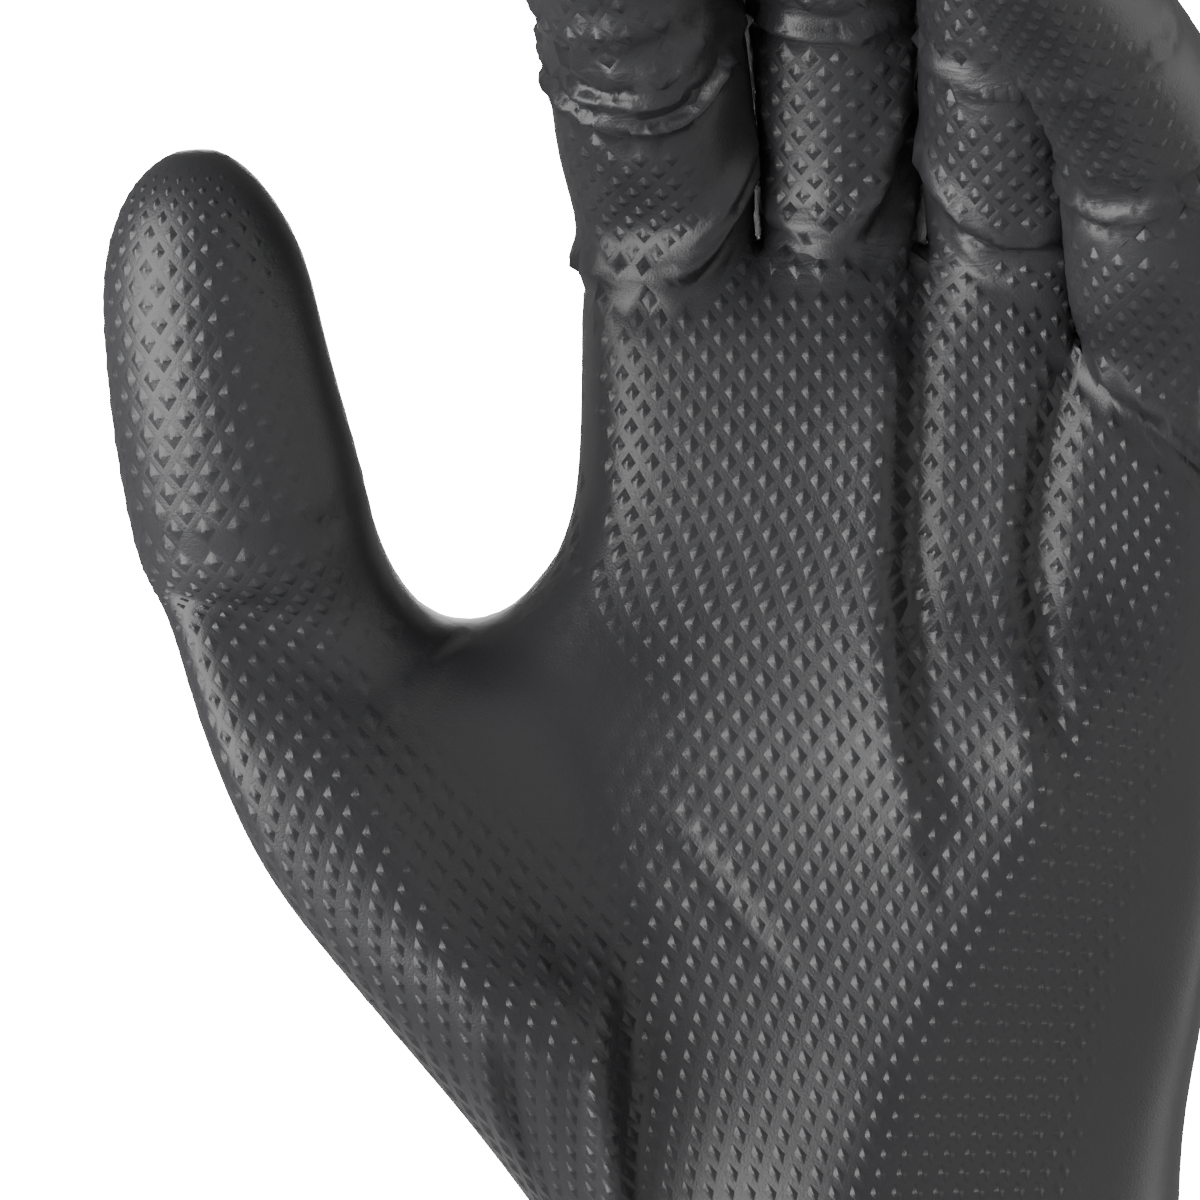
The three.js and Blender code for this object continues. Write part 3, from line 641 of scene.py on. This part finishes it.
# %% Fold tables
LIMB_FOLDS = [
    # limb, mm from the root, tilt, climb left, climb right, width above, width below, height, angles, wave
    ("index", 1.8, 2, 0, 13, 2.6, 0.7, 1.5, -140, 95, 0.2),
    ("index", 0.7, 2, 0, 13, 0.7, 1.2, -0.9, -130, 90, 0.2),
    ("index", 4.0, 2, 0, 12, 0.6, 0.8, -0.5, 10, 95, 0.3),
    ("index", 5.6, 2, 0, 11, 1.0, 0.6, 0.5, 5, 95, 0.3),
    ("index", -1.6, 8, 0, 12, 0.6, 0.7, -0.4, 0, 80, 0.3),
    ("index", 21.6, 0, 3.0, 8, 0.9, 0.6, 1.1, -140, 110, 0.2),
    ("index", 20.4, 0, 3.0, 8, 0.5, 0.8, -0.6, -120, 100, 0.2),
    ("index", 22.9, 0, 3.0, 7, 0.6, 0.6, -0.7, -110, 60, 0.4),
    ("index", 24.8, -3, 3, 5, 0.9, 0.7, 0.7, -120, 50, 0.7),
    ("index", 26.2, 4, 2, 4, 0.6, 0.7, -0.8, -100, 40, 0.9),
    ("index", 28.6, -6, 2, 6, 1.1, 0.8, 0.7, -120, 60, 0.9),
    ("index", 31.4, 5, 2, 4, 0.7, 0.8, -0.8, -110, 40, 0.9),
    ("index", 34.2, -4, 2, 4, 1.3, 1.0, 0.6, -120, 70, 0.8),
    ("index", 53.0, 0, 0, 0, 1.4, 1.0, 0.7, -90, 90, 0.6),
    ("index", 51.0, 0, 0, 0, 0.8, 1.0, -0.7, -90, 90, 0.6),
    ("middle", 6.0, 0, 3, 26, 2.2, 0.7, 1.3, -110, 90, 0.3),
    ("middle", 4.6, 0, 3, 26, 0.7, 1.5, -0.9, -60, 80, 0.3),
    ("middle", 1.6, 10, 0, 16, 0.7, 0.9, -0.6, -30, 80, 0.6),
    ("middle", 8.6, 4, 2, 22, 0.6, 0.7, -0.4, 0, 70, 0.5),
    ("middle", 30.0, 0, 2, 2, 1.0, 0.7, 0.8, -110, 110, 0.4),
    ("middle", 28.6, 0, 2, 2, 0.6, 1.0, -0.8, -100, 100, 0.4),
    ("middle", 33.0, 5, 0, 0, 0.8, 0.9, -0.8, -80, 70, 0.8),
    ("middle", 56.0, 0, 0, 0, 1.4, 1.0, 0.7, -90, 90, 0.6),
    ("ring", 8.4, 0, 8, 4, 2.0, 0.7, 1.3, -110, 90, 0.3),
    ("ring", 7.0, 0, 8, 4, 0.7, 1.4, -0.9, -100, 80, 0.3),
    ("ring", 2.4, -8, 8, 0, 0.7, 0.9, -0.5, -80, 20, 0.5),
    ("ring", 27.6, 0, 2, 0, 0.8, 0.6, 0.7, -120, 60, 0.2),
    ("ring", 26.4, 0, 2, 0, 0.5, 0.8, -0.6, -110, 60, 0.2),
    ("ring", 29.0, 0, 2, 0, 0.6, 0.6, -0.6, -100, 40, 0.3),
    ("ring", 54.0, 0, 0, 0, 1.4, 1.0, 0.7, -90, 90, 0.6),
    ("little", -6.0, -38, 0, 0, 0.7, 1.6, -1.2, -80, 120, 0.2),
    ("little", -4.2, -38, 0, 0, 2.2, 0.8, 0.9, -80, 120, 0.2),
    ("little", -8.6, -38, 0, 0, 0.6, 1.0, -0.6, -40, 110, 0.3),
    ("little", 24.4, 20, 3, 2, 0.8, 0.6, 0.65, -120, 80, 0.3),
    ("little", 23.1, 20, 3, 2, 0.5, 0.8, -0.7, -110, 60, 0.3),
    ("little", 26.4, 18, 3, 2, 0.6, 0.7, -0.6, -100, 70, 0.4),
    ("little", 19.6, 16, 2, 2, 0.6, 0.7, -0.4, -60, 40, 0.6),
    ("little", 28.0, -6, 2, 0, 0.8, 0.7, -0.5, -90, 30, 0.8),
    ("little", 46.0, 0, 0, 0, 1.4, 1.0, 0.6, -90, 90, 0.6),
    ("thumb", 14.6, -3, 1, 0, 0.9, 1.2, -0.35, -60, 60, 0.3),
    ("thumb", 16.2, -3, 1, 0, 1.6, 1.1, 0.25, -60, 60, 0.3),
    ("index", -1.2, 2, 0, 13, 1.0, 3.2, -0.7, -35, 45, 0.2),
]
PALM_FOLDS = [
    # points of the line as x, z, then width left of it, width right of it, height
    ([(6.6, 160), (4.6, 150), (3.6, 136), (3.4, 120), (4.6, 106), (5.6, 98)], 1.4, 2.4, -1.9),
    ([(20.6, 148), (18.2, 138), (16.6, 128), (17.0, 116), (18.8, 104), (20.4, 95)], 1.4, 2.2, -1.8),
    ([(-29.4, 84.5), (-28.6, 76), (-28.9, 68), (-27.6, 60), (-27.8, 52), (-27, 30)], 1.4, 1.6, 1.2),
    ([(-25.8, 82), (-25.2, 66), (-24.8, 30)], 1.4, 2.6, -0.9),
    ([(-41.6, 76), (-39.6, 66.5), (-35, 58), (-33, 40)], 1.6, 1.6, 1.0),
    ([(-38.6, 74), (-37, 66), (-32.6, 50)], 1.4, 2.0, -0.8),
    ([(-22.4, 99.5), (-15.4, 90), (-8.0, 79)], 1.4, 1.5, -0.3),
    ([(-20.6, 101), (-13.6, 91.6), (-6.4, 81)], 1.4, 1.8, 0.08),
    ([(-41.6, 119.4), (-49, 114), (-57.4, 108)], 0.7, 0.9, -0.6),
    ([(-42.4, 117.6), (-50, 112.4), (-56, 107.6)], 0.9, 1.2, 0.35),
    ([(-31.0, 152), (-30.2, 140), (-29.8, 128), (-32.5, 117)], 0.8, 1.1, -0.6),
]
PALM_SLOPES = [
    # points of a crest or valley as x, z, then how far its slope reaches left and right, rounding, height
    ([(1.8, 146), (1.0, 136), (0.8, 120), (2.0, 106), (4, 98)], 14.0, 2.2, 1.1, 3.0),
    ([(15.6, 146), (14.2, 136), (14.2, 122), (16.0, 108), (17.6, 98)], 7.0, 2.2, 1.1, 1.5),
    ([(20, 112), (17, 102), (9, 86), (1, 72), (-3, 60), (-5, 30)], 20.0, 14.0, 4.0, 5.6),
    ([(-32, 104), (-28, 94), (-25, 85), (-23.5, 76), (-22.6, 60), (-22, 30)], 10.0, 9.0, 4.0, -2.6),
    ([(-56, 108), (-49, 92), (-42, 80), (-36, 72)], 14.0, 10.0, 4.0, 5.6),
    ([(-33, 80), (-28, 66), (-26.6, 56), (-26, 30)], 16.0, 4.0, 1.5, 4.6),
    ([(-30, 156), (-30, 146), (-30, 136), (-31, 128)], 5.0, 13.0, 3.0, 3.8),
]
LIMB_SLOPES = [
    # limb, from mm, to mm, angle of the crest, degrees it reaches before and after it, height
    ("little", -6, 22, 38, 50, 12, 1.4),
]
CRUMPLES = [
    # limb, from mm, to mm, from angle, to angle, height
    ("index", 22, 42, -110, 70, 0.16),
    ("middle", 1, 9, -50, 90, 0.16),
    ("middle", 27, 40, -90, 90, 0.16),
    ("ring", 4, 11, -60, 90, 0.16),
    ("ring", 25, 36, -90, 90, 0.16),
    ("little", 20, 34, -100, 50, 0.12),
]
print("folds:", len(LIMB_FOLDS) + len(PALM_FOLDS))


# %% [markdown]
# ## Measuring along a finger
# A fold across a finger needs three numbers for each point: how far along the spine it is, at what angle
# round the spine, and how far out. `along_limb` finds them for many points at once with numpy arrays.

# %% Measures along a limb
def ease(values):
    s = np.clip(values, 0, 1)
    return s * s * (3 - 2 * s)


def along_limb(limb, places, samples=121):
    shares = np.linspace(float(limb["spine"].shares[0]), 1, samples)
    frames = [limb["spine"].frame(share) for share in shares]
    middle, along, across, back = (np.array([tuple(f[k]) for f in frames]) for k in range(4))
    nearest = np.argmin(((places[:, None, :] - middle[None]) ** 2).sum(axis=2), axis=1)
    away = places - middle[nearest]
    step = (away * along[nearest]).sum(axis=1)
    right = (away * across[nearest]).sum(axis=1) / (limb["width"] / 2)
    front = -(away * back[nearest]).sum(axis=1) / (limb["depth"] / 2)
    return {
        "way": shares[nearest] * limb["length"] + step,
        "right": right,
        "angle": np.degrees(np.arctan2(right, front)),
        "radius": np.hypot(right, front),
        "nearest": nearest,
        "middle": middle,
    }


def window(values, low, high, soft):
    return ease(0.5 + (values - low) / soft) * ease(0.5 + (high - values) / soft)


def limb_fold_heights(places, tags):
    total = np.zeros(len(places))
    crisp = np.zeros(len(places))
    creased = np.zeros(len(places))
    for number, (name, limb) in enumerate(LIMBS.items()):
        mine = np.where((tags == number + 1) | (tags == 0))[0]
        local = along_limb(limb, places[mine])
        close = 1 - ease((local["radius"] - 1.3) / 0.35)
        for k, (owner, at, tilt, left, right, above, below, height, low, high, wave) in enumerate(LIMB_FOLDS):
            if owner != name:
                continue
            lean = math.tan(math.radians(tilt)) * local["right"] * limb["width"] / 2
            lean = lean + np.where(local["right"] < 0, left, right) * np.minimum(local["right"] ** 2, 1.2)
            angle = np.radians(local["angle"])
            ripple = wave * (np.sin(3.1 * angle + 1.7 * k) + 0.6 * np.sin(6.7 * angle + 2.9 * k))
            steeper = 4 * np.where(local["right"] < 0, left, right) * local["right"] / limb["width"]
            slope = (math.tan(math.radians(tilt)) + steeper) * np.cos(angle)
            d = (local["way"] - at - lean - ripple) / np.sqrt(1 + slope**2)
            shape = np.exp(-((d / np.where(d > 0, above, below)) ** 2))
            weight = window(local["angle"], low, high, 40) * close
            total[mine] += height * shape * weight
            if min(above, below) <= 0.9:
                crisp[mine] = np.maximum(crisp[mine], abs(height) * weight * np.exp(-(d**2)))
        for owner, start, end, crest, before, after, height in LIMB_SLOPES:
            if owner == name:
                turn = local["angle"] - crest
                fall = np.exp(-abs(turn) / np.where(turn < 0, before, after))
                total[mine] += height * fall * window(local["way"], start, end, 8) * close
        for owner, start, end, low, high, height in CRUMPLES:
            if owner != name:
                continue
            weight = window(local["way"], start, end, 5) * window(local["angle"], low, high, 40) * close
            for i in np.where(weight > 0.02)[0]:
                spot = Vector((local["angle"][i] / 45, local["way"][i] / 2.6, 7.3 * number))
                total[mine[i]] += height * weight[i] * (0.9 - 3.2 * abs(noise.noise(spot)))
                creased[mine[i]] = max(creased[mine[i]], weight[i])
    return total, crisp, creased


def beside_line(here, line):
    best = np.full(len(here), 1e9)
    side = np.zeros(len(here))
    for a, b in zip(line, line[1:]):
        a = np.array(a)
        way = np.array(b) - a
        t = np.clip(((here - a) @ way) / (way @ way), 0, 1)
        gap = here - a - t[:, None] * way
        distance = np.hypot(gap[:, 0], gap[:, 1])
        closer = distance < best
        best = np.where(closer, distance, best)
        side = np.where(closer, way[0] * gap[:, 1] - way[1] * gap[:, 0], side)
    return best, (side < 0) == (line[-1][1] < line[0][1])


def palm_fold_heights(places, normals, tags):
    total = np.zeros(len(places))
    crisp = np.zeros(len(places))
    facing = ease(-1.4 * normals[:, 1])
    facing *= np.where(tags == 5, 1 - ease((places[:, 2] - 118) / 10), 1 - ease((places[:, 2] - 150) / 26))
    here = places[:, [0, 2]]
    for line, left, right, height in PALM_FOLDS:
        distance, is_left = beside_line(here, line)
        share = (here[:, 1] - line[-1][1]) / (line[0][1] - line[-1][1])
        ends = ease(share / 0.4) * ease((1.1 - share) / 0.25)
        total += height * facing * ends * np.exp(-((distance / np.where(is_left, left, right)) ** 2))
        if min(left, right) <= 1.2:
            crisp = np.maximum(crisp, abs(height) * facing * ends * np.exp(-(distance**2)))
    for line, left, right, rounding, height in PALM_SLOPES:
        distance, is_left = beside_line(here, line)
        reach = np.where(is_left, left, right)
        rounded = np.sqrt(distance**2 + rounding**2) - rounding
        ends = ease((here[:, 1] - line[-1][1] + 14) / 26) * ease((line[0][1] + 14 - here[:, 1]) / 22)
        total += height * facing * ends * np.exp(-rounded / reach)
    return total, crisp


def folds_at(places, normals, tags):
    limb_height, limb_crisp, creased = limb_fold_heights(places, tags)
    palm_height, palm_crisp = palm_fold_heights(places, normals, tags)
    moves = normals * limb_height[:, None] + np.array([0, -1, 0]) * palm_height[:, None]
    return moves, np.maximum(limb_crisp, palm_crisp), creased


print("spine samples reach", round(float(LIMBS["ring"]["spine"].shares[0]), 2), "below the root")

# %% [markdown]
# ## Raised pyramids
# Each diamond gets a flat border, the land, and a low four-sided pyramid. `inset_individual` gives every
# diamond a ring of its own, which is drawn in to leave the land, a second inset makes the small ring
# under the top, and `poke` adds the top. Nothing is lifted yet: the height of each point waits in a layer
# called rise. Diamonds on a crisp fold are left out, because the film is stretched smooth there, and they
# are marked as fine.

# %% Lands and tops
LAND = 0.42
LEAST_BASE = 0.42
HEIGHT = 0.34
TOP_KEEP = 0.2
TOP_SHARE = 0.9
CRISP_FINE, CRISP_PLAIN = 0.3, 0.14
CRISP_FADE_END, CRISP_FADE = 0.26, 0.2
CRUMPLE_FADE = 0.3
LEAST_STRENGTH, SHARP_STRENGTH = 0.06, 0.4


def inset(faces, keep):
    sides = bmesh.ops.inset_individual(skin, faces=faces, thickness=0.0001)["faces"]
    for face in faces:
        middle = centre_of(face)
        share = keep(face)
        for v in face.verts:
            v.co = middle.lerp(v.co, share)
    return sides


def land_share(face):
    inner_radius = 2 * face.calc_area() / face.calc_perimeter()
    return max(LEAST_BASE, 1 - LAND / inner_radius)


skin.normal_update()
cells = [f for f in skin.faces if len(f.verts) == 4 and centre_of(f).z > PYRAMIDS_FROM]
cell_places = np.array([tuple(centre_of(f)) for f in cells])
cell_normals = np.array([tuple(f.normal) for f in cells])
cell_tags = np.array([max(v[LIMB] for v in f.verts) for f in cells])
_, crispness, creasing = folds_at(cell_places, cell_normals, cell_tags)
diamonds = {}
for face, tag, crisp, creased in zip(cells, cell_tags, crispness.tolist(), creasing.tolist()):
    strength = sum(v[GRIP] for v in face.verts) / len(face.verts) * (1 - CRUMPLE_FADE * creased)
    face[FINE] = crisp > CRISP_FINE
    if crisp <= CRISP_PLAIN and strength > LEAST_STRENGTH:
        diamonds[face] = (strength * smooth((CRISP_FADE_END - crisp) / CRISP_FADE), int(tag))
faces = list(diamonds)
inset(faces, land_share)
for face, (strength, tag) in diamonds.items():
    for v in face.verts:
        v[LIMB] = tag
    for e in face.edges:
        e.smooth = strength < SHARP_STRENGTH
inset(faces, lambda face: TOP_KEEP)
for face, (strength, tag) in diamonds.items():
    for v in face.verts:
        v[LIMB] = tag
        v[RISE] = TOP_SHARE * strength * HEIGHT
made = bmesh.ops.poke(skin, faces=faces)
for v in made["verts"]:
    ring = [e.other_vert(v) for e in v.link_edges]
    v[RISE] = ring[0][RISE] / TOP_SHARE
    v[LIMB] = ring[0][LIMB]
print("pyramids:", len(made["verts"]))

# %% [markdown]
# ## Finer film where it is plain
# The plain strips have no pyramids, so they have only a few points, and a narrow fold would look broken
# there. `subdivide_edges` cuts those faces into four, and the faces on a crisp fold into four twice more.

# %% Subdivide the plain film
SMALL_FACE = 1.6


def refine(faces):
    cuts = [e for e in skin.edges if e.link_faces and all(f in faces for f in e.link_faces)]
    made = bmesh.ops.subdivide_edges(skin, edges=cuts, cuts=1, use_grid_fill=True)["geom_inner"]
    fresh = {item for item in made if isinstance(item, bmesh.types.BMVert)}
    for v in fresh:
        known = [e.other_vert(v)[LIMB] for e in v.link_edges if e.other_vert(v) not in fresh]
        v[LIMB] = max(known, default=-1)
    for v in fresh:
        if v[LIMB] < 0:
            v[LIMB] = max(e.other_vert(v)[LIMB] for e in v.link_edges)


def is_plain(face):
    return len(face.verts) == 4 and centre_of(face).z > PYRAMIDS_FROM and face.calc_area() > SMALL_FACE


refine({f for f in skin.faces if is_plain(f) and all(v[RISE] == 0 for v in f.verts)})
for _ in range(2):
    refine({f for f in skin.faces if f[FINE] and len(f.verts) == 4})
print("fine faces:", sum(f[FINE] for f in skin.faces))
print("triangles so far:", sum(len(f.verts) - 2 for f in skin.faces))

# %% [markdown]
# ## Putting rise and folds together
# Every point now moves along its own outward direction by its rise and by the folds' height there. The
# inner face takes the same folds, one wall further in, so the film stays equally thick. Where two fingers
# touch, each one is pressed flat against the plane that lies midway between their spines.

# %% Move the points
def arrays_of(mesh, layer):
    mesh.normal_update()
    places = np.array([tuple(v.co) for v in mesh.verts])
    normals = np.array([tuple(v.normal) for v in mesh.verts])
    tags = np.array([v[layer] for v in mesh.verts])
    return places, normals, tags


def press(places, tags):
    for number, (name, limb) in enumerate(LIMBS.items()):
        mine = np.where(tags == number + 1)[0]
        for other_name in limb["beside"]:
            other = LIMBS[other_name]
            local = along_limb(limb, places[mine])
            theirs = along_limb(other, local["middle"])["middle"]
            gaps = theirs[None] - local["middle"][:, None]
            distance = np.linalg.norm(gaps, axis=2)
            pick = np.argmin(distance, axis=1)
            way = gaps[np.arange(len(pick)), pick]
            length = distance[np.arange(len(pick)), pick]
            way = way / length[:, None]
            reach = length * limb["width"] / (limb["width"] + other["width"]) - FINGER_GAP / 2
            k = local["nearest"]
            beyond = ((places[mine] - local["middle"][k]) * way[k]).sum(axis=1) - reach[k]
            places[mine] -= np.maximum(beyond, 0)[:, None] * way[k]
    return places


FOLDS_FROM, FOLDS_FADE = 8, 20
places, normals, tags = arrays_of(skin, LIMB)
rises = np.array([v[RISE] for v in skin.verts])
free = ease((places[:, 2] - FOLDS_FROM) / FOLDS_FADE)
moves, _, creased = folds_at(places, normals, tags)
places += normals * rises[:, None] + moves * free[:, None]
places = press(places, tags)
for v, place, share in zip(skin.verts, places, creased.tolist()):
    v.co = place
    v[CREASED] = share

inner_limb = inner.verts.layers.int["limb"]
inside_places, inside_normals, inside_tags = arrays_of(inner, inner_limb)
free = ease((inside_places[:, 2] - FOLDS_FROM) / FOLDS_FADE)
inside_moves = folds_at(inside_places, inside_normals, inside_tags)[0] * free[:, None]
pressed = press(inside_places + inside_moves, inside_tags)
level = inside_normals * np.array([1, 1, 0])
level /= np.linalg.norm(level, axis=1)[:, None] + 1e-9
on_rim = np.array([v.is_boundary for v in inner.verts])
inwards = np.where(on_rim[:, None], level, inside_normals)
for v, place, way in zip(inner.verts, pressed, inwards):
    v.co = place - WALL * way
bmesh.ops.reverse_faces(inner, faces=inner.faces)
print("the folds move the film by up to", round(float(np.linalg.norm(inside_moves, axis=1).max()), 2), "mm")

# %% [markdown]
# ## The rolled bead
# The rim of the cuff is rolled up into a thin bead, which keeps the glove from tearing when it is pulled
# on. From the outer rim the film goes on round a small circle, ring by ring, and `bridge_loops` joins the
# last ring to the rim of the inner face. The mesh is then closed all round.

# %% Bead and inner face
def rim_of(mesh):
    last = next(v for v in mesh.verts if v.is_boundary)
    loop = [last]
    edge = next(e for e in last.link_edges if e.is_boundary)
    while edge.other_vert(last) is not loop[0]:
        last = edge.other_vert(last)
        loop.append(last)
        edge = next(e for e in last.link_edges if e.is_boundary and e is not edge)
    return loop


outer_rim = rim_of(skin)
skin.normal_update()
out_ways = [Vector((v.normal.x, v.normal.y, 0)).normalized() for v in outer_rim]
centres_of_bead = [v.co - way * WALL / 2 for v, way in zip(outer_rim, out_ways)]
BEAD_STEPS = 9
start = math.asin(WALL / 2 / BEAD_RADIUS)
loop = outer_rim
for j in range(1, BEAD_STEPS):
    turn = mix(start, 2 * math.pi - start, j / BEAD_STEPS)
    places = []
    for middle, way in zip(centres_of_bead, out_ways):
        place = middle + way * BEAD_RADIUS * math.sin(turn)
        place.z = BEAD_RADIUS + BEAD_RADIUS * math.cos(turn)
        places.append(place)
    loop = next_row(loop, places)
helper = bpy.data.meshes.new("inner_face")
inner.to_mesh(helper)
skin.from_mesh(helper)
bpy.data.meshes.remove(helper)
open_edges = [e for e in skin.edges if e.is_boundary]
bmesh.ops.bridge_loops(skin, edges=open_edges)
bmesh.ops.recalc_face_normals(skin, faces=skin.faces)
print("open edges left:", sum(e.is_boundary for e in skin.edges))

# %% [markdown]
# ## From bmesh to a piece
# The finished mesh is scaled to metres and becomes one object at the origin. The rise of each point goes
# along as an attribute named crest, so the material can make the tops of the pyramids a little glossier,
# as on the real glove, where they are rubbed first.

# %% The glove object
skin.normal_update()
crests = [v[RISE] / HEIGHT for v in skin.verts]
for face in skin.faces:
    face.smooth = True
bmesh.ops.scale(skin, vec=(0.001, 0.001, 0.001), verts=skin.verts)
mesh = bpy.data.meshes.new("glove_skin")
skin.to_mesh(mesh)
crest = mesh.attributes.get("rise")
for item, value in zip(crest.data, crests):
    item.value = value
crest.name = "crest"
for name in ("grip", "limb", "fine"):
    mesh.attributes.remove(mesh.attributes[name])
glove = bpy.data.objects.new("glove_skin", mesh)
bpy.context.collection.objects.link(glove)
print("glove:", sum(len(p.vertices) - 2 for p in mesh.polygons), "triangles")

# %% [markdown]
# ## Black nitrile
# Nitrile film is satin: almost black, with soft wide highlights. Four things keep it from looking like
# plain plastic: a very fine grain in the surface, a slow change of roughness from place to place, tops of
# the pyramids that are rubbed smooth, and fine wrinkles where the film is crumpled. All of it is worked
# out from Object coordinates and from the attributes crest and crumple.

# %% Nitrile material
nitrile = bpy.data.materials.new("black_nitrile_film")
nitrile.use_nodes = True
nodes = nitrile.node_tree.nodes
links = nitrile.node_tree.links


def node(kind, inputs, output=0, **settings):
    made = nodes.new("ShaderNode" + kind)
    for name, value in settings.items():
        setattr(made, name, value)
    for name, value in inputs.items():
        if isinstance(value, bpy.types.NodeSocket):
            links.new(value, made.inputs[name])
        else:
            made.inputs[name].default_value = value
    return made.outputs[output]


where = node("TexCoord", {}, "Object")
grain = node("TexNoise", {"Vector": where, "Scale": 3800, "Detail": 3}, "Fac")
clouds = node("TexNoise", {"Vector": where, "Scale": 90, "Detail": 4}, "Fac")

satin = node("MapRange", {"Value": clouds, "From Min": 0.3, "From Max": 0.7, "To Min": 0.36, "To Max": 0.44})
top = node("Attribute", {}, "Fac", attribute_name="crest")
rubbed = node("MapRange", {"Value": top, "From Min": 0.8, "From Max": 1, "To Min": 0, "To Max": 0.14})
roughness = node("Math", {0: satin, 1: rubbed}, operation="SUBTRACT")
DARK = (0.017, 0.017, 0.019, 1)
LESS_DARK = (0.026, 0.026, 0.028, 1)
tone = node("Mix", {0: clouds, 6: DARK, 7: LESS_DARK}, 2, data_type="RGBA")

stretched = node("Mapping", {"Vector": where, "Scale": (150, 150, 420)})
wrinkles = node("TexNoise", {"Vector": stretched, "Scale": 1, "Detail": 2, "Distortion": 0.6}, "Fac")
from_middle = node("Math", {0: wrinkles, 1: 0.5}, operation="SUBTRACT")
ridged = node("Math", {0: from_middle}, operation="ABSOLUTE")
crumpled = node("Attribute", {}, "Fac", attribute_name="crumple")
depth = node("Math", {0: ridged, 1: crumpled}, operation="MULTIPLY")
creases = node("Bump", {"Height": depth, "Strength": 0.16, "Distance": 0.0016}, invert=True)
bump = node("Bump", {"Height": grain, "Normal": creases, "Strength": 0.6, "Distance": 0.00006})

shader = nodes["Principled BSDF"]
shader.inputs["IOR"].default_value = 1.52
shader.inputs["Specular IOR Level"].default_value = 0.5
links.new(tone, shader.inputs["Base Color"])
links.new(roughness, shader.inputs["Roughness"])
links.new(bump, shader.inputs["Normal"])
mesh.materials.append(nitrile)
print("material nodes:", len(nodes))

# %% [markdown]
# ## Floor and light
# The photograph was taken in front of white. One large soft light stands at the left and a little low, a
# weak panel at the right opens the shadows, and a narrow one at the far right draws the bright rim along
# the little finger's side. A panel behind the glove is there for the views of its back only. The floor is
# plain, pale and no larger than a small table.

# %% Stage and lights
floor_mesh = bmesh.new()
bmesh.ops.create_grid(floor_mesh, x_segments=1, y_segments=1, size=0.22)
bmesh.ops.translate(floor_mesh, vec=(0, 0, -0.0005), verts=floor_mesh.verts)
floor_data = bpy.data.meshes.new("floor")
floor_mesh.to_mesh(floor_data)
floor = bpy.data.objects.new("floor", floor_data)
bpy.context.collection.objects.link(floor)
pale = bpy.data.materials.new("pale_floor")
pale.use_nodes = True
pale.node_tree.nodes["Principled BSDF"].inputs["Base Color"].default_value = (0.85, 0.85, 0.85, 1)
pale.node_tree.nodes["Principled BSDF"].inputs["Roughness"].default_value = 0.9
floor_data.materials.append(pale)

world = bpy.data.worlds.new("white_room")
world.use_nodes = True
room = world.node_tree.nodes["Background"]
room.inputs["Color"].default_value = (1, 1, 1, 1)
seen = world.node_tree.nodes.new("ShaderNodeLightPath")
strength = world.node_tree.nodes.new("ShaderNodeMapRange")
strength.inputs["To Min"].default_value = 0.35
strength.inputs["To Max"].default_value = 30.0
world.node_tree.links.new(seen.outputs["Is Camera Ray"], strength.inputs["Value"])
world.node_tree.links.new(strength.outputs["Result"], room.inputs["Strength"])
bpy.context.scene.world = world


def softbox(name, place, aim, width, height, power):
    light = bpy.data.lights.new(name, "AREA")
    light.shape = "RECTANGLE"
    light.size = width
    light.size_y = height
    light.energy = power
    lamp = bpy.data.objects.new(name, light)
    lamp.location = place
    lamp.rotation_euler = (Vector(aim) - Vector(place)).to_track_quat("-Z", "Y").to_euler()
    bpy.context.collection.objects.link(lamp)
    print(name, power, "W")


AIM = (-0.01, 0, 0.12)
softbox("key_softbox", (-0.74, -0.5, 0.05), AIM, 0.9, 0.95, 20.5)
softbox("fill_panel", (0.7, -0.6, 0.2), AIM, 0.9, 1.2, 2)
softbox("rim_panel", (0.7, 0.12, 0.1), AIM, 0.3, 0.9, 2)
softbox("back_panel", (-0.03, 0.95, 0.4), AIM, 0.4, 0.4, 3)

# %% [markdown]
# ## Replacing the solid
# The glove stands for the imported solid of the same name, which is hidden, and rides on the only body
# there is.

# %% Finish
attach(glove, "root")
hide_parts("glove")
